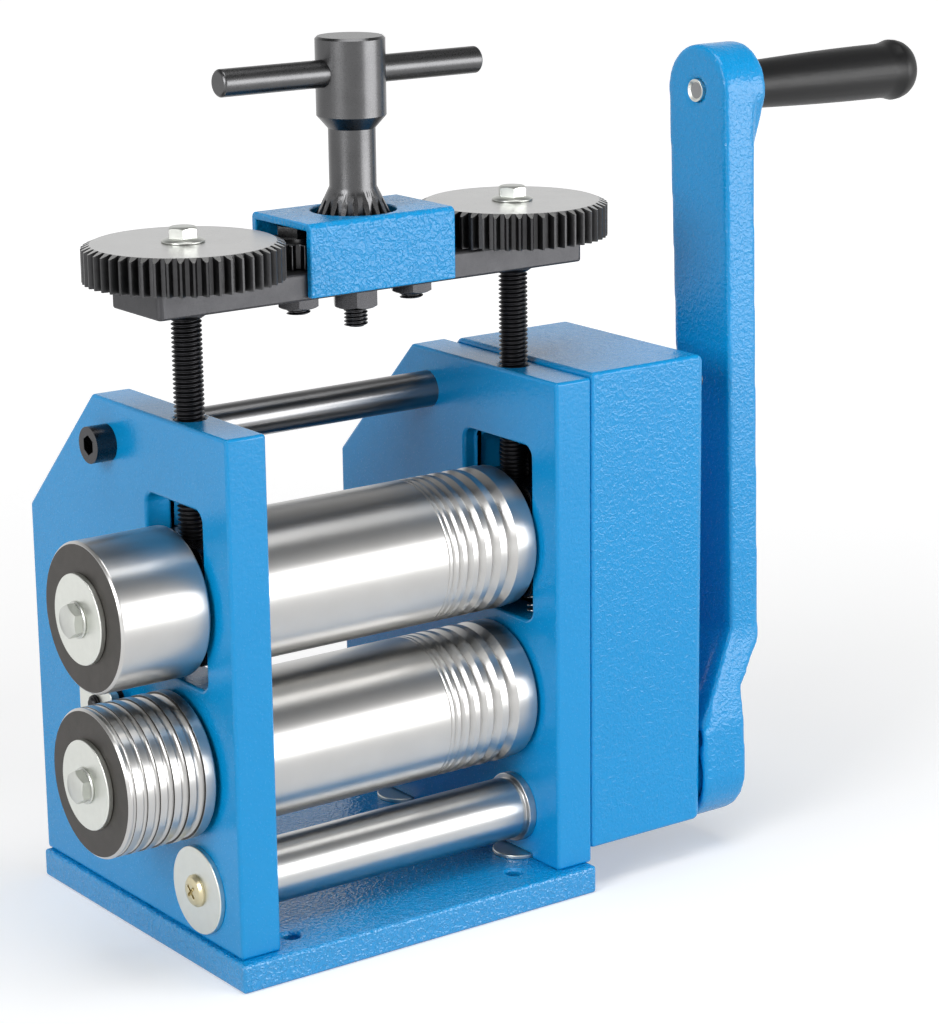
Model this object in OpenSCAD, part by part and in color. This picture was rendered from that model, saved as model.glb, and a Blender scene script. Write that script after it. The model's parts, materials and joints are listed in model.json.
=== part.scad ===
// Jewellers rolling mill, hand driven, with long main rollers and a pair of side rollers.
// The origin is the middle of the base plate's underside, X runs along the rollers towards
// the gear case, Y runs from the front to the back and Z is up. All lengths are millimetres.
// The drawing sizes are taken from the left frame's outer face, the frames' front and the
// base plate's top, and placed() moves every piece to the origin.

/* [Frames] */
// Thickness of each side frame
frame_t = 15; // [12:0.5:18]
// Space between the two side frames
frame_gap = 115; // [105:1:130]
// Depth of the frames behind the roller axes
frame_back = 98; // [90:1:116]
// Height of the frames above their windows
frame_crown = 26.7; // [24:0.1:40]
// Size of the slope that takes off the frames' top back corner
frame_slope = 47; // [30:1:60]
// Width of the bearing window
window_w = 35; // [33:0.5:37]
// Height of the window's bottom edge
window_z = 88; // [86:0.5:90]
// Space above the bearing blocks in their windows as shown
window_room = 12.8; // [10:0.1:16]
// Corner radius of the window
window_r = 4; // [2:0.5:4]
// Depth of the step round the window on the inner face
rebate_t = 5; // [3:0.5:7]
// Width of that step beside and above the window
rebate_w = 2; // [1:0.25:3]

/* [Base plate] */
// Thickness of the base plate
base_t = 10; // [8:0.5:14]
// How far the base plate stands out past the left frame
base_left = 2; // [1:0.5:6]
// How far the base plate stays inside the right frame's outer face
base_right_in = 1; // [0:0.5:4]
// How far the base plate stands out in front of the frames
base_front = 4; // [2:0.5:8]
// How far the base plate stays inside the frames' back
base_back_in = 1; // [0:0.5:4]
// Diameter of the mounting holes
base_hole_d = 6; // [5:0.5:7]
// Distance of the mounting holes from the base plate's left and right ends
base_hole_end = 26.5; // [26.5:0.5:32]
// Distance of the mounting holes from the base plate's front and back
base_hole_side = 13; // [10:0.5:20]
// Diameter of the zinc foot discs
foot_d = 18; // [14:0.5:20]
// Thickness of the foot discs
foot_t = 1.5; // [1:0.1:2]
// How far the foot discs' middles lie inside the frames
foot_in = 1; // [0:0.5:4]
// Depth position of the front foot discs
foot_y1 = 25; // [22:1:32]
// Distance of the back foot discs from the frames' back
foot_back_in = 34; // [28:1:42]

/* [Rollers] */
// Diameter of the rollers
roll_d = 50; // [46:0.5:50]
// Distance of the roller axes behind the frames' front
roll_y = 34; // [33:0.25:35]
// Height of the lower roller axis
lower_z = 59.5; // [58:0.25:61]
// Opening between the rollers as shown
nip_rest = 6; // [5.9:0.05:6.5]
// Least opening between the rollers
nip_min = 0.05; // [0.05:0.01:0.1]
// End clearance of the main rollers between the frames
roll_end_gap = 1; // [0.5:0.1:2]
// Journal diameter
journal_d = 25; // [22:0.5:26]
// Running clearance of the journals, on the radius
journal_fit = 0.05; // [0.02:0.01:0.08]
// Diameter of the roller shafts outside the journals
shaft_d = 20; // [16:0.5:21]
// How far the roller shafts run past their last gear
shaft_over = 2; // [1:0.25:3]
// Length of the side rollers
side_len = 32.8; // [25:0.1:40]
// Clearance between a side roller and the left frame
side_gap = 1.7; // [1:0.1:3]
// Edge chamfer of the rollers
roll_chamfer = 0.8; // [0.3:0.1:1.5]
// Plain length at the right end of the main rollers
groove_land = 4.5; // [3:0.1:6]
// Half width of the narrowest V groove
groove_min = 0.4; // [0.3:0.05:0.5]
// Half width of the widest V groove
groove_max = 2.3; // [1.8:0.05:2.6]
// Number of V grooves
groove_count = 7; // [5:1:7]
// Flat between the two narrowest V grooves
groove_flat_min = 0.8; // [0.6:0.05:1]
// Flat between the two widest V grooves
groove_flat_max = 2.6; // [2:0.05:2.8]
// Distance of the widest V groove from the rollers' right end
groove_end = 11; // [9:0.25:13]
// Depth of the step at the rollers' right end land
groove_land_step = 0.3; // [0.2:0.05:0.5]
// Radius of the narrowest half round groove
half_round_min = 0.6; // [0.4:0.05:0.8]
// Radius of the widest half round groove
half_round_max = 1.75; // [1.4:0.05:1.9]
// Number of half round grooves
half_round_count = 6; // [4:1:6]
// Flat left between half round grooves
half_round_flat = 2.55; // [2:0.05:2.7]
// Distance of the narrowest half round groove from the roller's outer end
half_round_edge = 2.1; // [1.6:0.1:2.6]
// Diameter of the washers on the side rollers
side_washer_d = 30; // [24:0.5:34]
// Thickness of the large zinc washers
side_washer_t = 2; // [1.5:0.1:3]
// Head size across flats of the side roller bolts
side_bolt_af = 10; // [8:0.5:13]
// Head height of the side roller bolts
side_bolt_h = 4; // [3:0.1:5]
// Shank diameter of the side roller bolts
side_bolt_d = 6; // [5:0.5:8]
// Shank length of the side roller bolts
side_bolt_len = 20; // [15:1:30]

/* [Bearings] */
// Wall of the lower journal bushes
bush_wall = 4.5; // [3:0.25:6]
// Sliding clearance of the bearing blocks in their windows
block_fit = 0.15; // [0.1:0.05:0.25]
// Height of the bearing blocks above the upper roller axis
block_up = 20; // [17:0.25:22]
// Depth of the bearing blocks below the upper roller axis
block_down = 19.5; // [17:0.25:20.5]
// Wire diameter of the lifting springs
spring_wire = 0.8; // [0.6:0.05:0.9]
// Outer diameter of the lifting springs
spring_d = 5; // [4.6:0.1:5.4]
// Number of curls in each lifting spring
spring_turns = 6; // [5:1:7]
// Distance of each spring from the roller axis, front to back
spring_off = 10.75; // [10.5:0.05:11]
// Height of the spring pocket roof below the upper roller axis
spring_roof = 12; // [11.5:0.1:13]

/* [Lift train] */
// Outer diameter of the lift screws
screw_d = 10; // [8:0.5:11]
// Shank diameter of the lift screws above their collars
screw_top_d = 9; // [7.5:0.5:9]
// Clearance of the screw in its frame bore, on the radius
screw_fit = 0.1; // [0.06:0.01:0.15]
// Diameter of the screw collars under the bridge
collar_d = 14; // [12:0.5:18]
// Thickness of the screw collars
collar_t = 2.5; // [2:0.1:4]
// Space between the frame tops and the bridge plate as shown
bridge_rise = 36; // [32:0.5:45]
// Thickness of the bridge plate
bridge_t = 9; // [7:0.5:12]
// Width of the bridge plate, front to back
bridge_w = 30; // [26:0.5:34]
// How far the bridge plate runs past the screw axes
bridge_over = 18.5; // [12:0.5:25]
// Corner chamfer of the bridge plate
bridge_chamfer = 1; // [0.5:0.5:5]
// Teeth of the two large lift gears
lift_teeth = 50; // [50:2:54]
// Teeth of the idlers and of the handle's pinion
pinion_teeth = 18; // [16:2:18]
// Face width of the large lift gears
lift_gear_t = 12; // [10:0.5:14]
// Height of the cone that takes off the large lift gears' upper tooth ends
lift_cone_h = 1.2; // [0.8:0.1:2]
// Face width of the lift idlers
idler_t = 8; // [6:0.5:8]
// Backlash taken off each tooth of the lift train
lift_backlash = 0.28; // [0.25:0.01:0.3]
// Running clearance of the lift train's bores and faces
lift_fit = 0.05; // [0.03:0.01:0.08]
// Space under the lift gears
gear_under = 0.3; // [0.2:0.05:0.4]
// Shank diameter of the idler and handle studs
stud_d = 8; // [7:0.5:9]
// Head diameter of the idler studs
stud_head_d = 15; // [12:0.5:17]
// Flange thickness of the idler studs
stud_flange_t = 1.2; // [0.8:0.1:1.6]
// Head height of the idler studs, flange included
stud_head_h = 4.9; // [3:0.1:4.9]
// Head size across flats of the idler studs
stud_head_af = 12; // [10:0.5:13]
// How far the idler studs stand out below their nuts
stud_out = 2; // [1:0.25:3]
// How far the handle stud reaches up inside the handle
handle_stud_up = 26; // [20:1:30]
// Size across flats of the studs' nuts under the bridge
stud_nut_af = 13; // [11:0.5:15]
// Height of the side nuts
stud_nut_h = 5; // [4:0.25:7]
// Size across flats of the middle nut
mid_nut_af = 14; // [12:0.5:16]
// Height of the middle nut
mid_nut_h = 7.5; // [5:0.25:9]
// How far the middle stud stands out below its nut
mid_stud_out = 6.5; // [2:0.5:8]
// Flange diameter of the large gears' bolts
gear_bolt_flange_d = 14; // [12:0.5:18]
// Flange thickness of the large gears' bolts
gear_bolt_flange_t = 1.3; // [1:0.1:2]
// Head size across flats of the large gears' bolts
gear_bolt_af = 8.7; // [8:0.1:11]
// Head height of the large gears' bolts, without flange
gear_bolt_h = 3.6; // [3:0.1:5]
// Shank diameter of the large gears' bolts
gear_bolt_d = 5; // [4:0.5:6]
// Shank length of the large gears' bolts
gear_bolt_len = 22; // [16:1:30]

/* [Pinion cover] */
// How far the blue pinion cover runs past the idler axes
cover_past = 6; // [3.5:0.25:6.5]
// Wall of the pinion cover
cover_t = 2.5; // [2:0.1:2.5]
// Height of the cover's top above the bridge plate
cover_rise = 16; // [16:0.25:20]
// How far the cover's skirts reach down over the bridge plate
cover_skirt = 8; // [4:0.5:8.5]
// Clearance of the cover's hole round the pinion, on the radius
cover_hole_gap = 1.75; // [1:0.25:2.5]
// Outer bend radius of the cover
cover_bend = 2; // [1:0.25:2.4]

/* [T handle] */
// Neck diameter of the T handle
neck_d = 15.6; // [14:0.1:17]
// Hub diameter of the T handle
hub_d = 23; // [20:0.5:25]
// Height where the full teeth end, above the bridge plate
tooth_end = 14; // [12:0.5:16]
// Height where the teeth have run out into the neck
tooth_runout = 23.7; // [20:0.1:26]
// Height where the neck ends
neck_end = 42.7; // [38:0.1:48]
// Height where the hub has its full diameter
hub_start = 46.9; // [44:0.1:52]
// Height of the hub's top
hub_top = 72.5; // [70:0.5:78]
// Height of the cross bar
tbar_z = 61; // [58:0.5:64]
// Cross bar diameter
tbar_d = 9; // [7:0.5:11]
// Cross bar length
tbar_len = 101; // [85:1:120]
// Edge chamfer of the hub and the cross bar
handle_chamfer = 0.8; // [0.4:0.1:1.2]

/* [Frame rods] */
// Diameter of the top tie rod
tie_d = 13; // [11:0.5:16]
// Distance of the top tie rod in front of the slope's upper edge
tie_in = 10; // [8:0.5:15]
// Distance of the top tie rod below the frame tops
tie_down = 14.6; // [12:0.2:17]
// Head diameter of the tie rod's cap screws
cap_d = 12.5; // [10:0.5:13]
// Head height of the cap screws
cap_h = 7.4; // [6:0.1:8]
// Socket size across flats of the cap screws
cap_af = 6; // [5:0.5:7]
// Socket depth of the cap screws
cap_socket = 4; // [2:0.25:5]
// Shank diameter of the cap screws
cap_shank = 8; // [6:0.5:8]
// Shank length of the cap screws
cap_len = 35; // [25:1:45]
// Diameter of the bottom bar
bar_d = 22; // [18:0.5:24]
// Depth position of the bottom bar
bar_y = 24.6; // [24:0.1:27]
// Height of the bottom bar
bar_z = 17.6; // [15:0.1:19]
// Diameter of the bottom bar's collar
bar_collar_d = 24.6; // [22:0.1:26]
// Width of the bottom bar's collar
bar_collar_w = 3; // [2:0.25:6]
// Depth of the neck beside the collar
bar_neck = 0.6; // [0.3:0.1:1]
// Diameter of the bottom bar's spigots
bar_spigot_d = 12; // [10:0.5:14]
// Length of the bottom bar's right spigot
bar_spigot_len = 7; // [5:0.5:8]
// Head diameter of the cross slot screw
pan_d = 11; // [9:0.5:14]
// Head height of the cross slot screw
pan_h = 3.4; // [2.5:0.1:5]
// Shank diameter of the cross slot screw
pan_shank = 6; // [5:0.5:8]
// Shank length of the cross slot screw
pan_len = 22; // [15:1:30]
// Distance of the keeper plate behind the roller axes
keeper_back = 41; // [38:0.5:46]
// Height of the keeper plate above the lower roller axis
keeper_up = 11.5; // [6.5:0.5:16.5]
// Length of the keeper plate
keeper_l = 22; // [16:0.5:26]
// Width of the keeper plate
keeper_w = 12; // [10:0.5:16]
// Thickness of the keeper plate
keeper_t = 3; // [2:0.25:4]
// Space between the keeper plate and the frame
keeper_off = 6; // [4:0.25:8]
// Diameter of the keeper plate's stud
keeper_stud_d = 6; // [5:0.5:7]
// Depth of the keeper stud in the frame
keeper_stud_in = 10; // [7:0.5:12]
// How far the keeper stud stands out past the plate
keeper_stud_out = 2; // [0.5:0.25:4]

/* [Gear case] */
// Inside width of the gear case
case_in = 47; // [45:0.5:52]
// Wall of the gear case
case_wall = 3; // [2:0.1:3]
// Thickness of the gear case's outer side
case_side = 4; // [3:0.25:6]
// Height of the case's top above the frame tops
case_rise = 1.5; // [1:0.25:4]
// Height of the case's underside
case_bottom = 5; // [3:0.25:5]
// How far the case's back stays inside the frames' back
case_back_in = 8; // [4:0.5:12]
// Edge radius of the case
case_r = 4; // [1:0.25:5]
// Number of teeth of the roller gears
long_teeth = 11; // [10:1:11]
// Face width of the roller gears
long_t = 18; // [14:0.5:20]
// Distance of the roller gears from the frame
long_x = 3; // [2:0.25:5]
// Module of the reduction gears
drive_module = 1.5; // [1.4:0.05:1.5]
// Teeth of the crank pinion
drive_pinion_teeth = 12; // [12:1:12]
// Teeth of the reduction idler
drive_idler_teeth = 15; // [14:1:16]
// Teeth of the reduction gear
drive_gear_teeth = 36; // [34:1:36]
// Face width of the reduction gears
drive_t = 12; // [10:0.5:13]
// Distance of the reduction gears from the frame
drive_x = 25; // [23:0.25:28]
// Backlash taken off each reduction tooth
drive_backlash = 0.22; // [0.15:0.01:0.25]
// Backlash taken off each roller gear tooth
long_backlash = 0.4; // [0.38:0.01:0.45]
// Diameter of the bosses that carry the case screws
case_boss_d = 11; // [9:0.5:12]
// Diameter of the case screws
case_screw_d = 5; // [4:0.5:6]
// Head diameter of the case screws
case_head_d = 8.5; // [7:0.5:10]
// Head height of the case screws
case_head_h = 5; // [3:0.25:6]
// Distance of the top case screw from the case's front
case_screw_front = 12; // [11:0.5:14]
// Distance of the top case screw below the case's top
case_screw_down = 11.5; // [10:0.5:16]
// Distance of the two back case screws from the case's back
case_screw_back_in = 12; // [10.5:0.5:18]
// Distance of the upper back case screw below the slope's lower edge
case_screw_mid_down = 19.5; // [14:0.5:30]
// Height of the lower back case screw above the case's underside
case_screw_up = 11; // [10:0.5:20]
// How far the case screws reach into the frame
case_screw_in = 9; // [6:0.5:12]
// Hub diameter of the reduction gear
drive_hub_d = 30; // [26:0.5:34]
// Diameter of the idler post
post_d = 10; // [8:0.5:11]
// Diameter of the idler post's shoulder
post_shoulder_d = 13; // [12:0.25:14]
// Depth of the idler post's seat in the frame
post_in = 7; // [5:0.5:8]
// Thickness of the idler post's end disc
post_end_t = 1.5; // [1:0.1:2]

/* [Crank] */
// Distance of the crank axis behind the frames' front
crank_y = 18; // [17:0.25:19]
// Height of the crank axis
crank_z = 19; // [18.5:0.25:20]
// Diameter of the crank shaft
crank_shaft_d = 16; // [14:0.5:18]
// Diameter of the crank shaft's inner journal
crank_tip_d = 12; // [10:0.5:13]
// Depth of that journal's bore in the right frame
crank_tip_in = 6; // [4:0.25:6.5]
// Wall of the crank bush
crank_bush_wall = 3; // [2:0.25:4]
// How far the crank bush's flange stands out around it
crank_flange_out = 4; // [2:0.25:5]
// How far the crank bush reaches into the case
crank_bush_in = 6; // [3:0.25:8]
// Distance between the crank axis and the grip axis
crank_len = 245; // [180:1:260]
// Lean of the crank towards the back as shown
crank_lean = 2.3; // [-5:0.1:10]
// Radius of the crank's lower end
crank_low_r = 19; // [17:0.25:19]
// Radius of the crank's upper end
crank_top_r = 16; // [14:0.25:17]
// Half width of the arm
arm_half = 14; // [12:0.25:15.5]
// Thickness of the crank's lower end
crank_low_t = 17.2; // [14:0.1:20]
// Thickness of the arm
arm_t = 13.6; // [11:0.1:16]
// Thickness of the crank's upper end
crank_top_t = 19; // [16:0.25:22]
// Space between the gear case and the crank
crank_space = 3; // [2.5:0.25:5]
// How far the arm is set out from the lower end
arm_set = 14.7; // [10:0.1:18]
// Height along the arm where its outer step begins
step_out_low = 29; // [26:0.5:34]
// Height along the arm where its outer step ends
step_out_high = 47; // [42:0.5:52]
// Height along the arm where its inner step begins
step_in_low = 18; // [14:0.5:22]
// Height along the arm where its inner step ends
step_in_high = 52; // [46:0.5:58]
// Diameter of the grip at its base
grip_low_d = 16.4; // [14:0.2:18]
// Diameter of the grip near its end
grip_high_d = 19.8; // [18:0.2:22]
// Diameter of the grip's end ring
grip_ring_d = 22; // [21:0.2:26]
// Length of the grip's taper
grip_taper = 67; // [55:1:80]
// Length from the grip's taper to its ring
grip_ring_at = 6; // [4:0.25:8]
// Length of the grip's end beyond its ring
grip_end = 6.4; // [5:0.2:16]
// Diameter of the grip's spindle
spindle_d = 8; // [6:0.5:9]
// Depth of the hollow in the grip's end
grip_hollow = 9; // [6:0.5:10]
// Diameter of the hollow in the grip's end
grip_hollow_d = 13; // [11.5:0.5:14]
// Width of the rim round the hollow
grip_lip = 1.6; // [1:0.1:2.4]
// How far the riveted spindle stands out on the arm's inner face
spindle_out = 0.8; // [0.3:0.1:1.5]
// Head diameter of the spindle inside the hollow
spindle_head_d = 11; // [9:0.5:11]
// Head thickness of the spindle
spindle_head_t = 2.5; // [1.5:0.25:4]

/* [Hidden] */
$fn = 64;

// Play of parts that are seated on each other, on the radius or at a face
seat = 0.03;
// How far the roller shafts stay inside the side rollers' outer faces
seat_in = 0.5;
// Play of a screw in its clearance hole, on the radius
hole_play = 0.25;
// Space between turning or sliding faces of different pieces
run_gap = 0.3;
// Overrun of the cuts
over = 1;
pressure_angle = 20;
full_turn = 360;
// Tooth height above and below the pitch circle, in modules
tip_share = 1;
lift_root_share = 1.25;
drive_root_share = 1.3;
long_tip_share = 1.093;
long_root_share = 1.17;

// Places that follow from the sizes above
right_x = frame_t + frame_gap;
mill_w = right_x + frame_t;
mid_x = mill_w / 2;
base_x0 = -base_left;
base_x1 = mill_w - base_right_in;
base_y0 = -base_front;
frame_d = roll_y + frame_back;
base_y1 = frame_d - base_back_in;
origin_x = (base_x0 + base_x1) / 2;
origin_y = (base_y0 + base_y1) / 2;
upper_z = lower_z + roll_d + nip_rest;
window_top = upper_z + block_up + window_room;
frame_h = window_top + frame_crown;
foot_y2 = frame_d - foot_back_in;
tie_y = frame_d - frame_slope - tie_in;
tie_z = frame_h - tie_down;
keeper_y = roll_y + keeper_back;
keeper_z = lower_z + keeper_up;
roll_x0 = frame_t + roll_end_gap;
roll_x1 = right_x - roll_end_gap;
bush_d = journal_d + 2 * bush_wall;
side_x0 = -side_gap - side_len;
bridge_z = frame_h + bridge_rise;
bridge_top = bridge_z + bridge_t;
gear_z = bridge_top + gear_under;
gear_top = gear_z + lift_gear_t;
left_screw_x = frame_t / 2;
right_screw_x = mill_w - frame_t / 2;
// The module of the lift train lets it span the distance between the two screws
lift_module = (right_screw_x - left_screw_x) / (lift_teeth + 3 * pinion_teeth);
idler_step = lift_module * pinion_teeth;
lift_tip_r = lift_module * (lift_teeth / 2 + tip_share);
lift_root_r = lift_module * (lift_teeth / 2 - lift_root_share);
pinion_tip_r = lift_module * (pinion_teeth / 2 + tip_share);
left_idler_x = mid_x - idler_step;
right_idler_x = mid_x + idler_step;
cover_in_w = bridge_w;
cover_top = bridge_top + cover_rise;
cover_len = 2 * (idler_step + cover_past);

// The roller gears' module comes from the rollers' least axis distance
long_module = (roll_d + nip_min) / long_teeth;
long_gear_x = mill_w + long_x;
long_end_x = long_gear_x + long_t;
drive_gear_x = mill_w + drive_x;
drive_end_x = drive_gear_x + drive_t;
case_x1 = mill_w + case_in + case_side;
case_in_x = mill_w + case_in;
case_top = frame_h + case_rise;
case_d = frame_d - case_back_in;
lower_end_x = drive_end_x + shaft_over;
upper_end_x = long_end_x + shaft_over;
crank_bush_d = crank_shaft_d + 2 * crank_bush_wall;
crank_flange_d = crank_bush_d + 2 * crank_flange_out;
crank_x0 = case_x1 + crank_space;
arm_x1 = crank_x0 + arm_set + arm_t;
crank_top_x = crank_x0 + arm_set + crank_top_t;

// The reduction idler sits where it meets both the crank pinion and the reduction gear
pinion_to_idler = drive_module * (drive_pinion_teeth + drive_idler_teeth) / 2;
idler_to_gear = drive_module * (drive_idler_teeth + drive_gear_teeth) / 2;
crank_to_roll = [roll_y - crank_y, lower_z - crank_z];
crank_roll_gap = norm(crank_to_roll);
toward_roll = crank_to_roll / crank_roll_gap;
along_line = (pinion_to_idler ^ 2 - idler_to_gear ^ 2 + crank_roll_gap ^ 2) / (2 * crank_roll_gap);
off_line = sqrt(pinion_to_idler ^ 2 - along_line ^ 2);
post_y = crank_y + along_line * toward_roll[0] + off_line * toward_roll[1];
post_z = crank_z + along_line * toward_roll[1] - off_line * toward_roll[0];
pinion_phase = 90;
drive_idler_phase = meshed(atan2(post_z - crank_z, post_y - crank_y), pinion_phase,
    drive_pinion_teeth, drive_idler_teeth);
drive_gear_phase = meshed(atan2(lower_z - post_z, roll_y - post_y), drive_idler_phase,
    drive_idler_teeth, drive_gear_teeth);

// Angle of a tooth of gear B that meshes with gear A, seen in direction theta from A
function meshed(theta, phase_a, teeth_a, teeth_b) =
    theta + full_turn / 2 - full_turn / teeth_b * (1 / 2 - (theta - phase_a) * teeth_a / full_turn);
function involute(angle) = tan(angle) * full_turn / (2 * PI) - angle;
// Half the angle that an involute tooth covers at radius r
function tooth_half(r, teeth, module_size, backlash) =
    let (pitch_r = teeth * module_size / 2, base_r = pitch_r * cos(pressure_angle))
    full_turn / (4 * teeth) - backlash / (2 * pitch_r) * full_turn / (2 * PI)
    + involute(pressure_angle) - involute(acos(base_r / max(r, base_r)));
// One side of a tooth from root to tip, as radius and half angle
function tooth_side(teeth, module_size, tip_r, root_r, backlash, steps) =
    let (base_r = teeth * module_size / 2 * cos(pressure_angle), low = max(base_r, root_r))
    concat(
        root_r < base_r ? [[root_r, tooth_half(base_r, teeth, module_size, backlash)]] : [],
        [for (i = [0:steps]) let (r = low + (tip_r - low) * i / steps)
            [r, tooth_half(r, teeth, module_size, backlash)]]);
function gear_points(teeth, module_size, tip_r, root_r, backlash, phase, steps) =
    let (side = tooth_side(teeth, module_size, tip_r, root_r, backlash, steps), last = len(side) - 1)
    [for (k = [0:teeth - 1]) let (middle = phase + full_turn * k / teeth)
        for (i = [0:2 * last + 1])
            let (p = i <= last ? side[i] : side[2 * last + 1 - i], turn = i <= last ? -p[1] : p[1])
            p[0] * [cos(middle + turn), sin(middle + turn)]];

module placed() translate([-origin_x, -origin_y, base_t]) children();
// Extrudes an outline drawn in Y and Z along X
module along_x(x, length) translate([x, 0, 0]) rotate([90, 0, 90]) linear_extrude(length) children();
module rod(x, y, z, d, length) translate([x, y, z]) rotate([0, 90, 0]) cylinder(d = d, h = length);
// Turns an outline of radius and place about an axis along X
module turned_x(y, z) translate([0, y, z]) rotate([0, 90, 0]) rotate_extrude() children();
module post(x, y, z, d, height) translate([x, y, z]) cylinder(d = d, h = height);
module hexagon(flats) circle(d = flats / cos(full_turn / 12), $fn = 6);
module hex_post(x, y, z, flats, height) translate([x, y, z]) linear_extrude(height) hexagon(flats);
module hex_rod(x, y, z, flats, length) translate([x, y, z]) rotate([0, 90, 0])
    linear_extrude(length) hexagon(flats);
module rounded(w, h, r) {
    translate([r, 0]) square([w - 2 * r, h]);
    translate([0, r]) square([w, h - 2 * r]);
    for (x = [r, w - r], y = [r, h - r]) translate([x, y]) circle(r);
}
module lift_wheel(teeth, phase, z, height)
    translate([0, 0, z]) linear_extrude(height)
        polygon(gear_points(teeth, lift_module, lift_module * (teeth / 2 + tip_share),
            lift_module * (teeth / 2 - lift_root_share), lift_backlash, phase, 2));
module drive_wheel(teeth, phase, x, length)
    along_x(x, length)
        polygon(gear_points(teeth, drive_module, drive_module * (teeth / 2 + tip_share),
            drive_module * (teeth / 2 - drive_root_share), drive_backlash, phase, 3));
module long_wheel(phase, x, length)
    along_x(x, length)
        polygon(gear_points(long_teeth, long_module, long_module * (long_teeth / 2 + long_tip_share),
            long_module * (long_teeth / 2 - long_root_share), long_backlash, phase, 5));

// Base plate and its foot discs
module base_plate() color("#1587D0") placed() difference() {
    translate([base_x0, base_y0, -base_t])
        cube([base_x1 - base_x0, base_y1 - base_y0, base_t]);
    for (sx = [-1, 1], sy = [-1, 1])
        post(origin_x + sx * ((base_x1 - base_x0) / 2 - base_hole_end),
            origin_y + sy * ((base_y1 - base_y0) / 2 - base_hole_side),
            -base_t - over, base_hole_d, base_t + 2 * over);
}
module foot_disc(x, y) color("#B9BCB6") placed() post(x, y, 0, foot_d, foot_t);
module foot_left_front() foot_disc(frame_t - foot_in, foot_y1);
module foot_left_back() foot_disc(frame_t - foot_in, foot_y2);
module foot_right_front() foot_disc(right_x + foot_in, foot_y1);
module foot_right_back() foot_disc(right_x + foot_in, foot_y2);

// Side frames, with the window for the sliding block and the bore of the lower bush
module frame_outline()
    polygon([[0, 0], [frame_d, 0], [frame_d, frame_h - frame_slope],
        [frame_d - frame_slope, frame_h], [0, frame_h]]);
module window_outline(grow)
    translate([roll_y - window_w / 2 - grow, window_z])
        rounded(window_w + 2 * grow, window_top - window_z + grow, window_r);
module frame(x, foot_x, inner_x) difference() {
    along_x(x, frame_t) frame_outline();
    along_x(x - over, frame_t + 2 * over) window_outline(0);
    along_x(inner_x, rebate_t) window_outline(rebate_w);
    post(x + frame_t / 2, roll_y, window_top - over, screw_d + 2 * screw_fit, frame_crown + 2 * over);
    rod(x - over, roll_y, lower_z, bush_d, frame_t + 2 * over);
    rod(x - over, tie_y, tie_z, cap_shank + 2 * hole_play, frame_t + 2 * over);
    for (y = [foot_y1, foot_y2])
        post(foot_x, y, -over, foot_d + 2 * run_gap, foot_t + seat + over);
}
module left_frame() color("#1587D0") placed() difference() {
    frame(0, frame_t - foot_in, frame_t - rebate_t);
    rod(-over, bar_y, bar_z, pan_shank + 2 * hole_play, frame_t + 2 * over);
    rod(-over, keeper_y, keeper_z, keeper_stud_d + 2 * seat, over + keeper_stud_in);
}
module right_frame() color("#1587D0") placed() difference() {
    frame(right_x, right_x + foot_in, right_x);
    rod(right_x - over, bar_y, bar_z, bar_spigot_d + 2 * seat, over + bar_spigot_len + seat);
    rod(mill_w - crank_tip_in, crank_y, crank_z, crank_tip_d + 2 * journal_fit, crank_tip_in + over);
    rod(mill_w - post_in, post_y, post_z, post_d + 2 * seat, post_in + over);
    for (p = case_screw_places)
        rod(mill_w - case_screw_in, p[0], p[1], case_screw_d + 2 * seat, case_screw_in + over);
}
module journal_bush(x) color("#9A7B4F") placed() difference() {
    rod(x, roll_y, lower_z, bush_d, frame_t);
    rod(x - over, roll_y, lower_z, journal_d + 2 * journal_fit, frame_t + 2 * over);
}
module left_bush() journal_bush(0);
module right_bush() journal_bush(right_x);

// Rods that hold the frames apart
module cap_screw(head_x, y, z, turn) translate([head_x, y, z]) rotate([0, 90 * turn, 0]) difference() {
    union() {
        cylinder(d = cap_shank, h = cap_len);
        translate([0, 0, -cap_h]) cylinder(d = cap_d, h = cap_h);
    }
    translate([0, 0, -cap_h - over]) linear_extrude(cap_socket + over) hexagon(cap_af);
}
module top_tie_rod() color("#4C4C4E") placed() difference() {
    rod(frame_t, tie_y, tie_z, tie_d, frame_gap);
    for (x = [frame_t - over, right_x - cap_len + frame_t - seat])
        rod(x, tie_y, tie_z, cap_shank + 2 * seat, cap_len - frame_t + seat + over);
}
module tie_screw_left() color("#2A2A2C") placed() cap_screw(0, tie_y, tie_z, 1);
module tie_screw_right() color("#2A2A2C") placed() cap_screw(mill_w, tie_y, tie_z, -1);
module bottom_bar() color("#A9ABAC") placed() difference() {
    turned_x(bar_y, bar_z) polygon([[0, frame_t], [bar_d / 2, frame_t],
        [bar_d / 2, right_x - 1.5 * bar_collar_w], [bar_d / 2 - bar_neck, right_x - 1.5 * bar_collar_w],
        [bar_d / 2 - bar_neck, right_x - bar_collar_w], [bar_collar_d / 2, right_x - bar_collar_w],
        [bar_collar_d / 2, right_x], [bar_spigot_d / 2, right_x],
        [bar_spigot_d / 2, right_x + bar_spigot_len], [0, right_x + bar_spigot_len]]);
    rod(frame_t - over, bar_y, bar_z, pan_shank + 2 * seat,
        pan_len - frame_t - side_washer_t + seat + over);
}
module washer(x, y, z, hole) difference() {
    rod(x, y, z, side_washer_d, side_washer_t);
    rod(x - over, y, z, hole + 2 * hole_play, side_washer_t + 2 * over);
}
module bar_washer() color("#B9BCB6") placed() washer(-side_washer_t, bar_y, bar_z, pan_shank);
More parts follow.
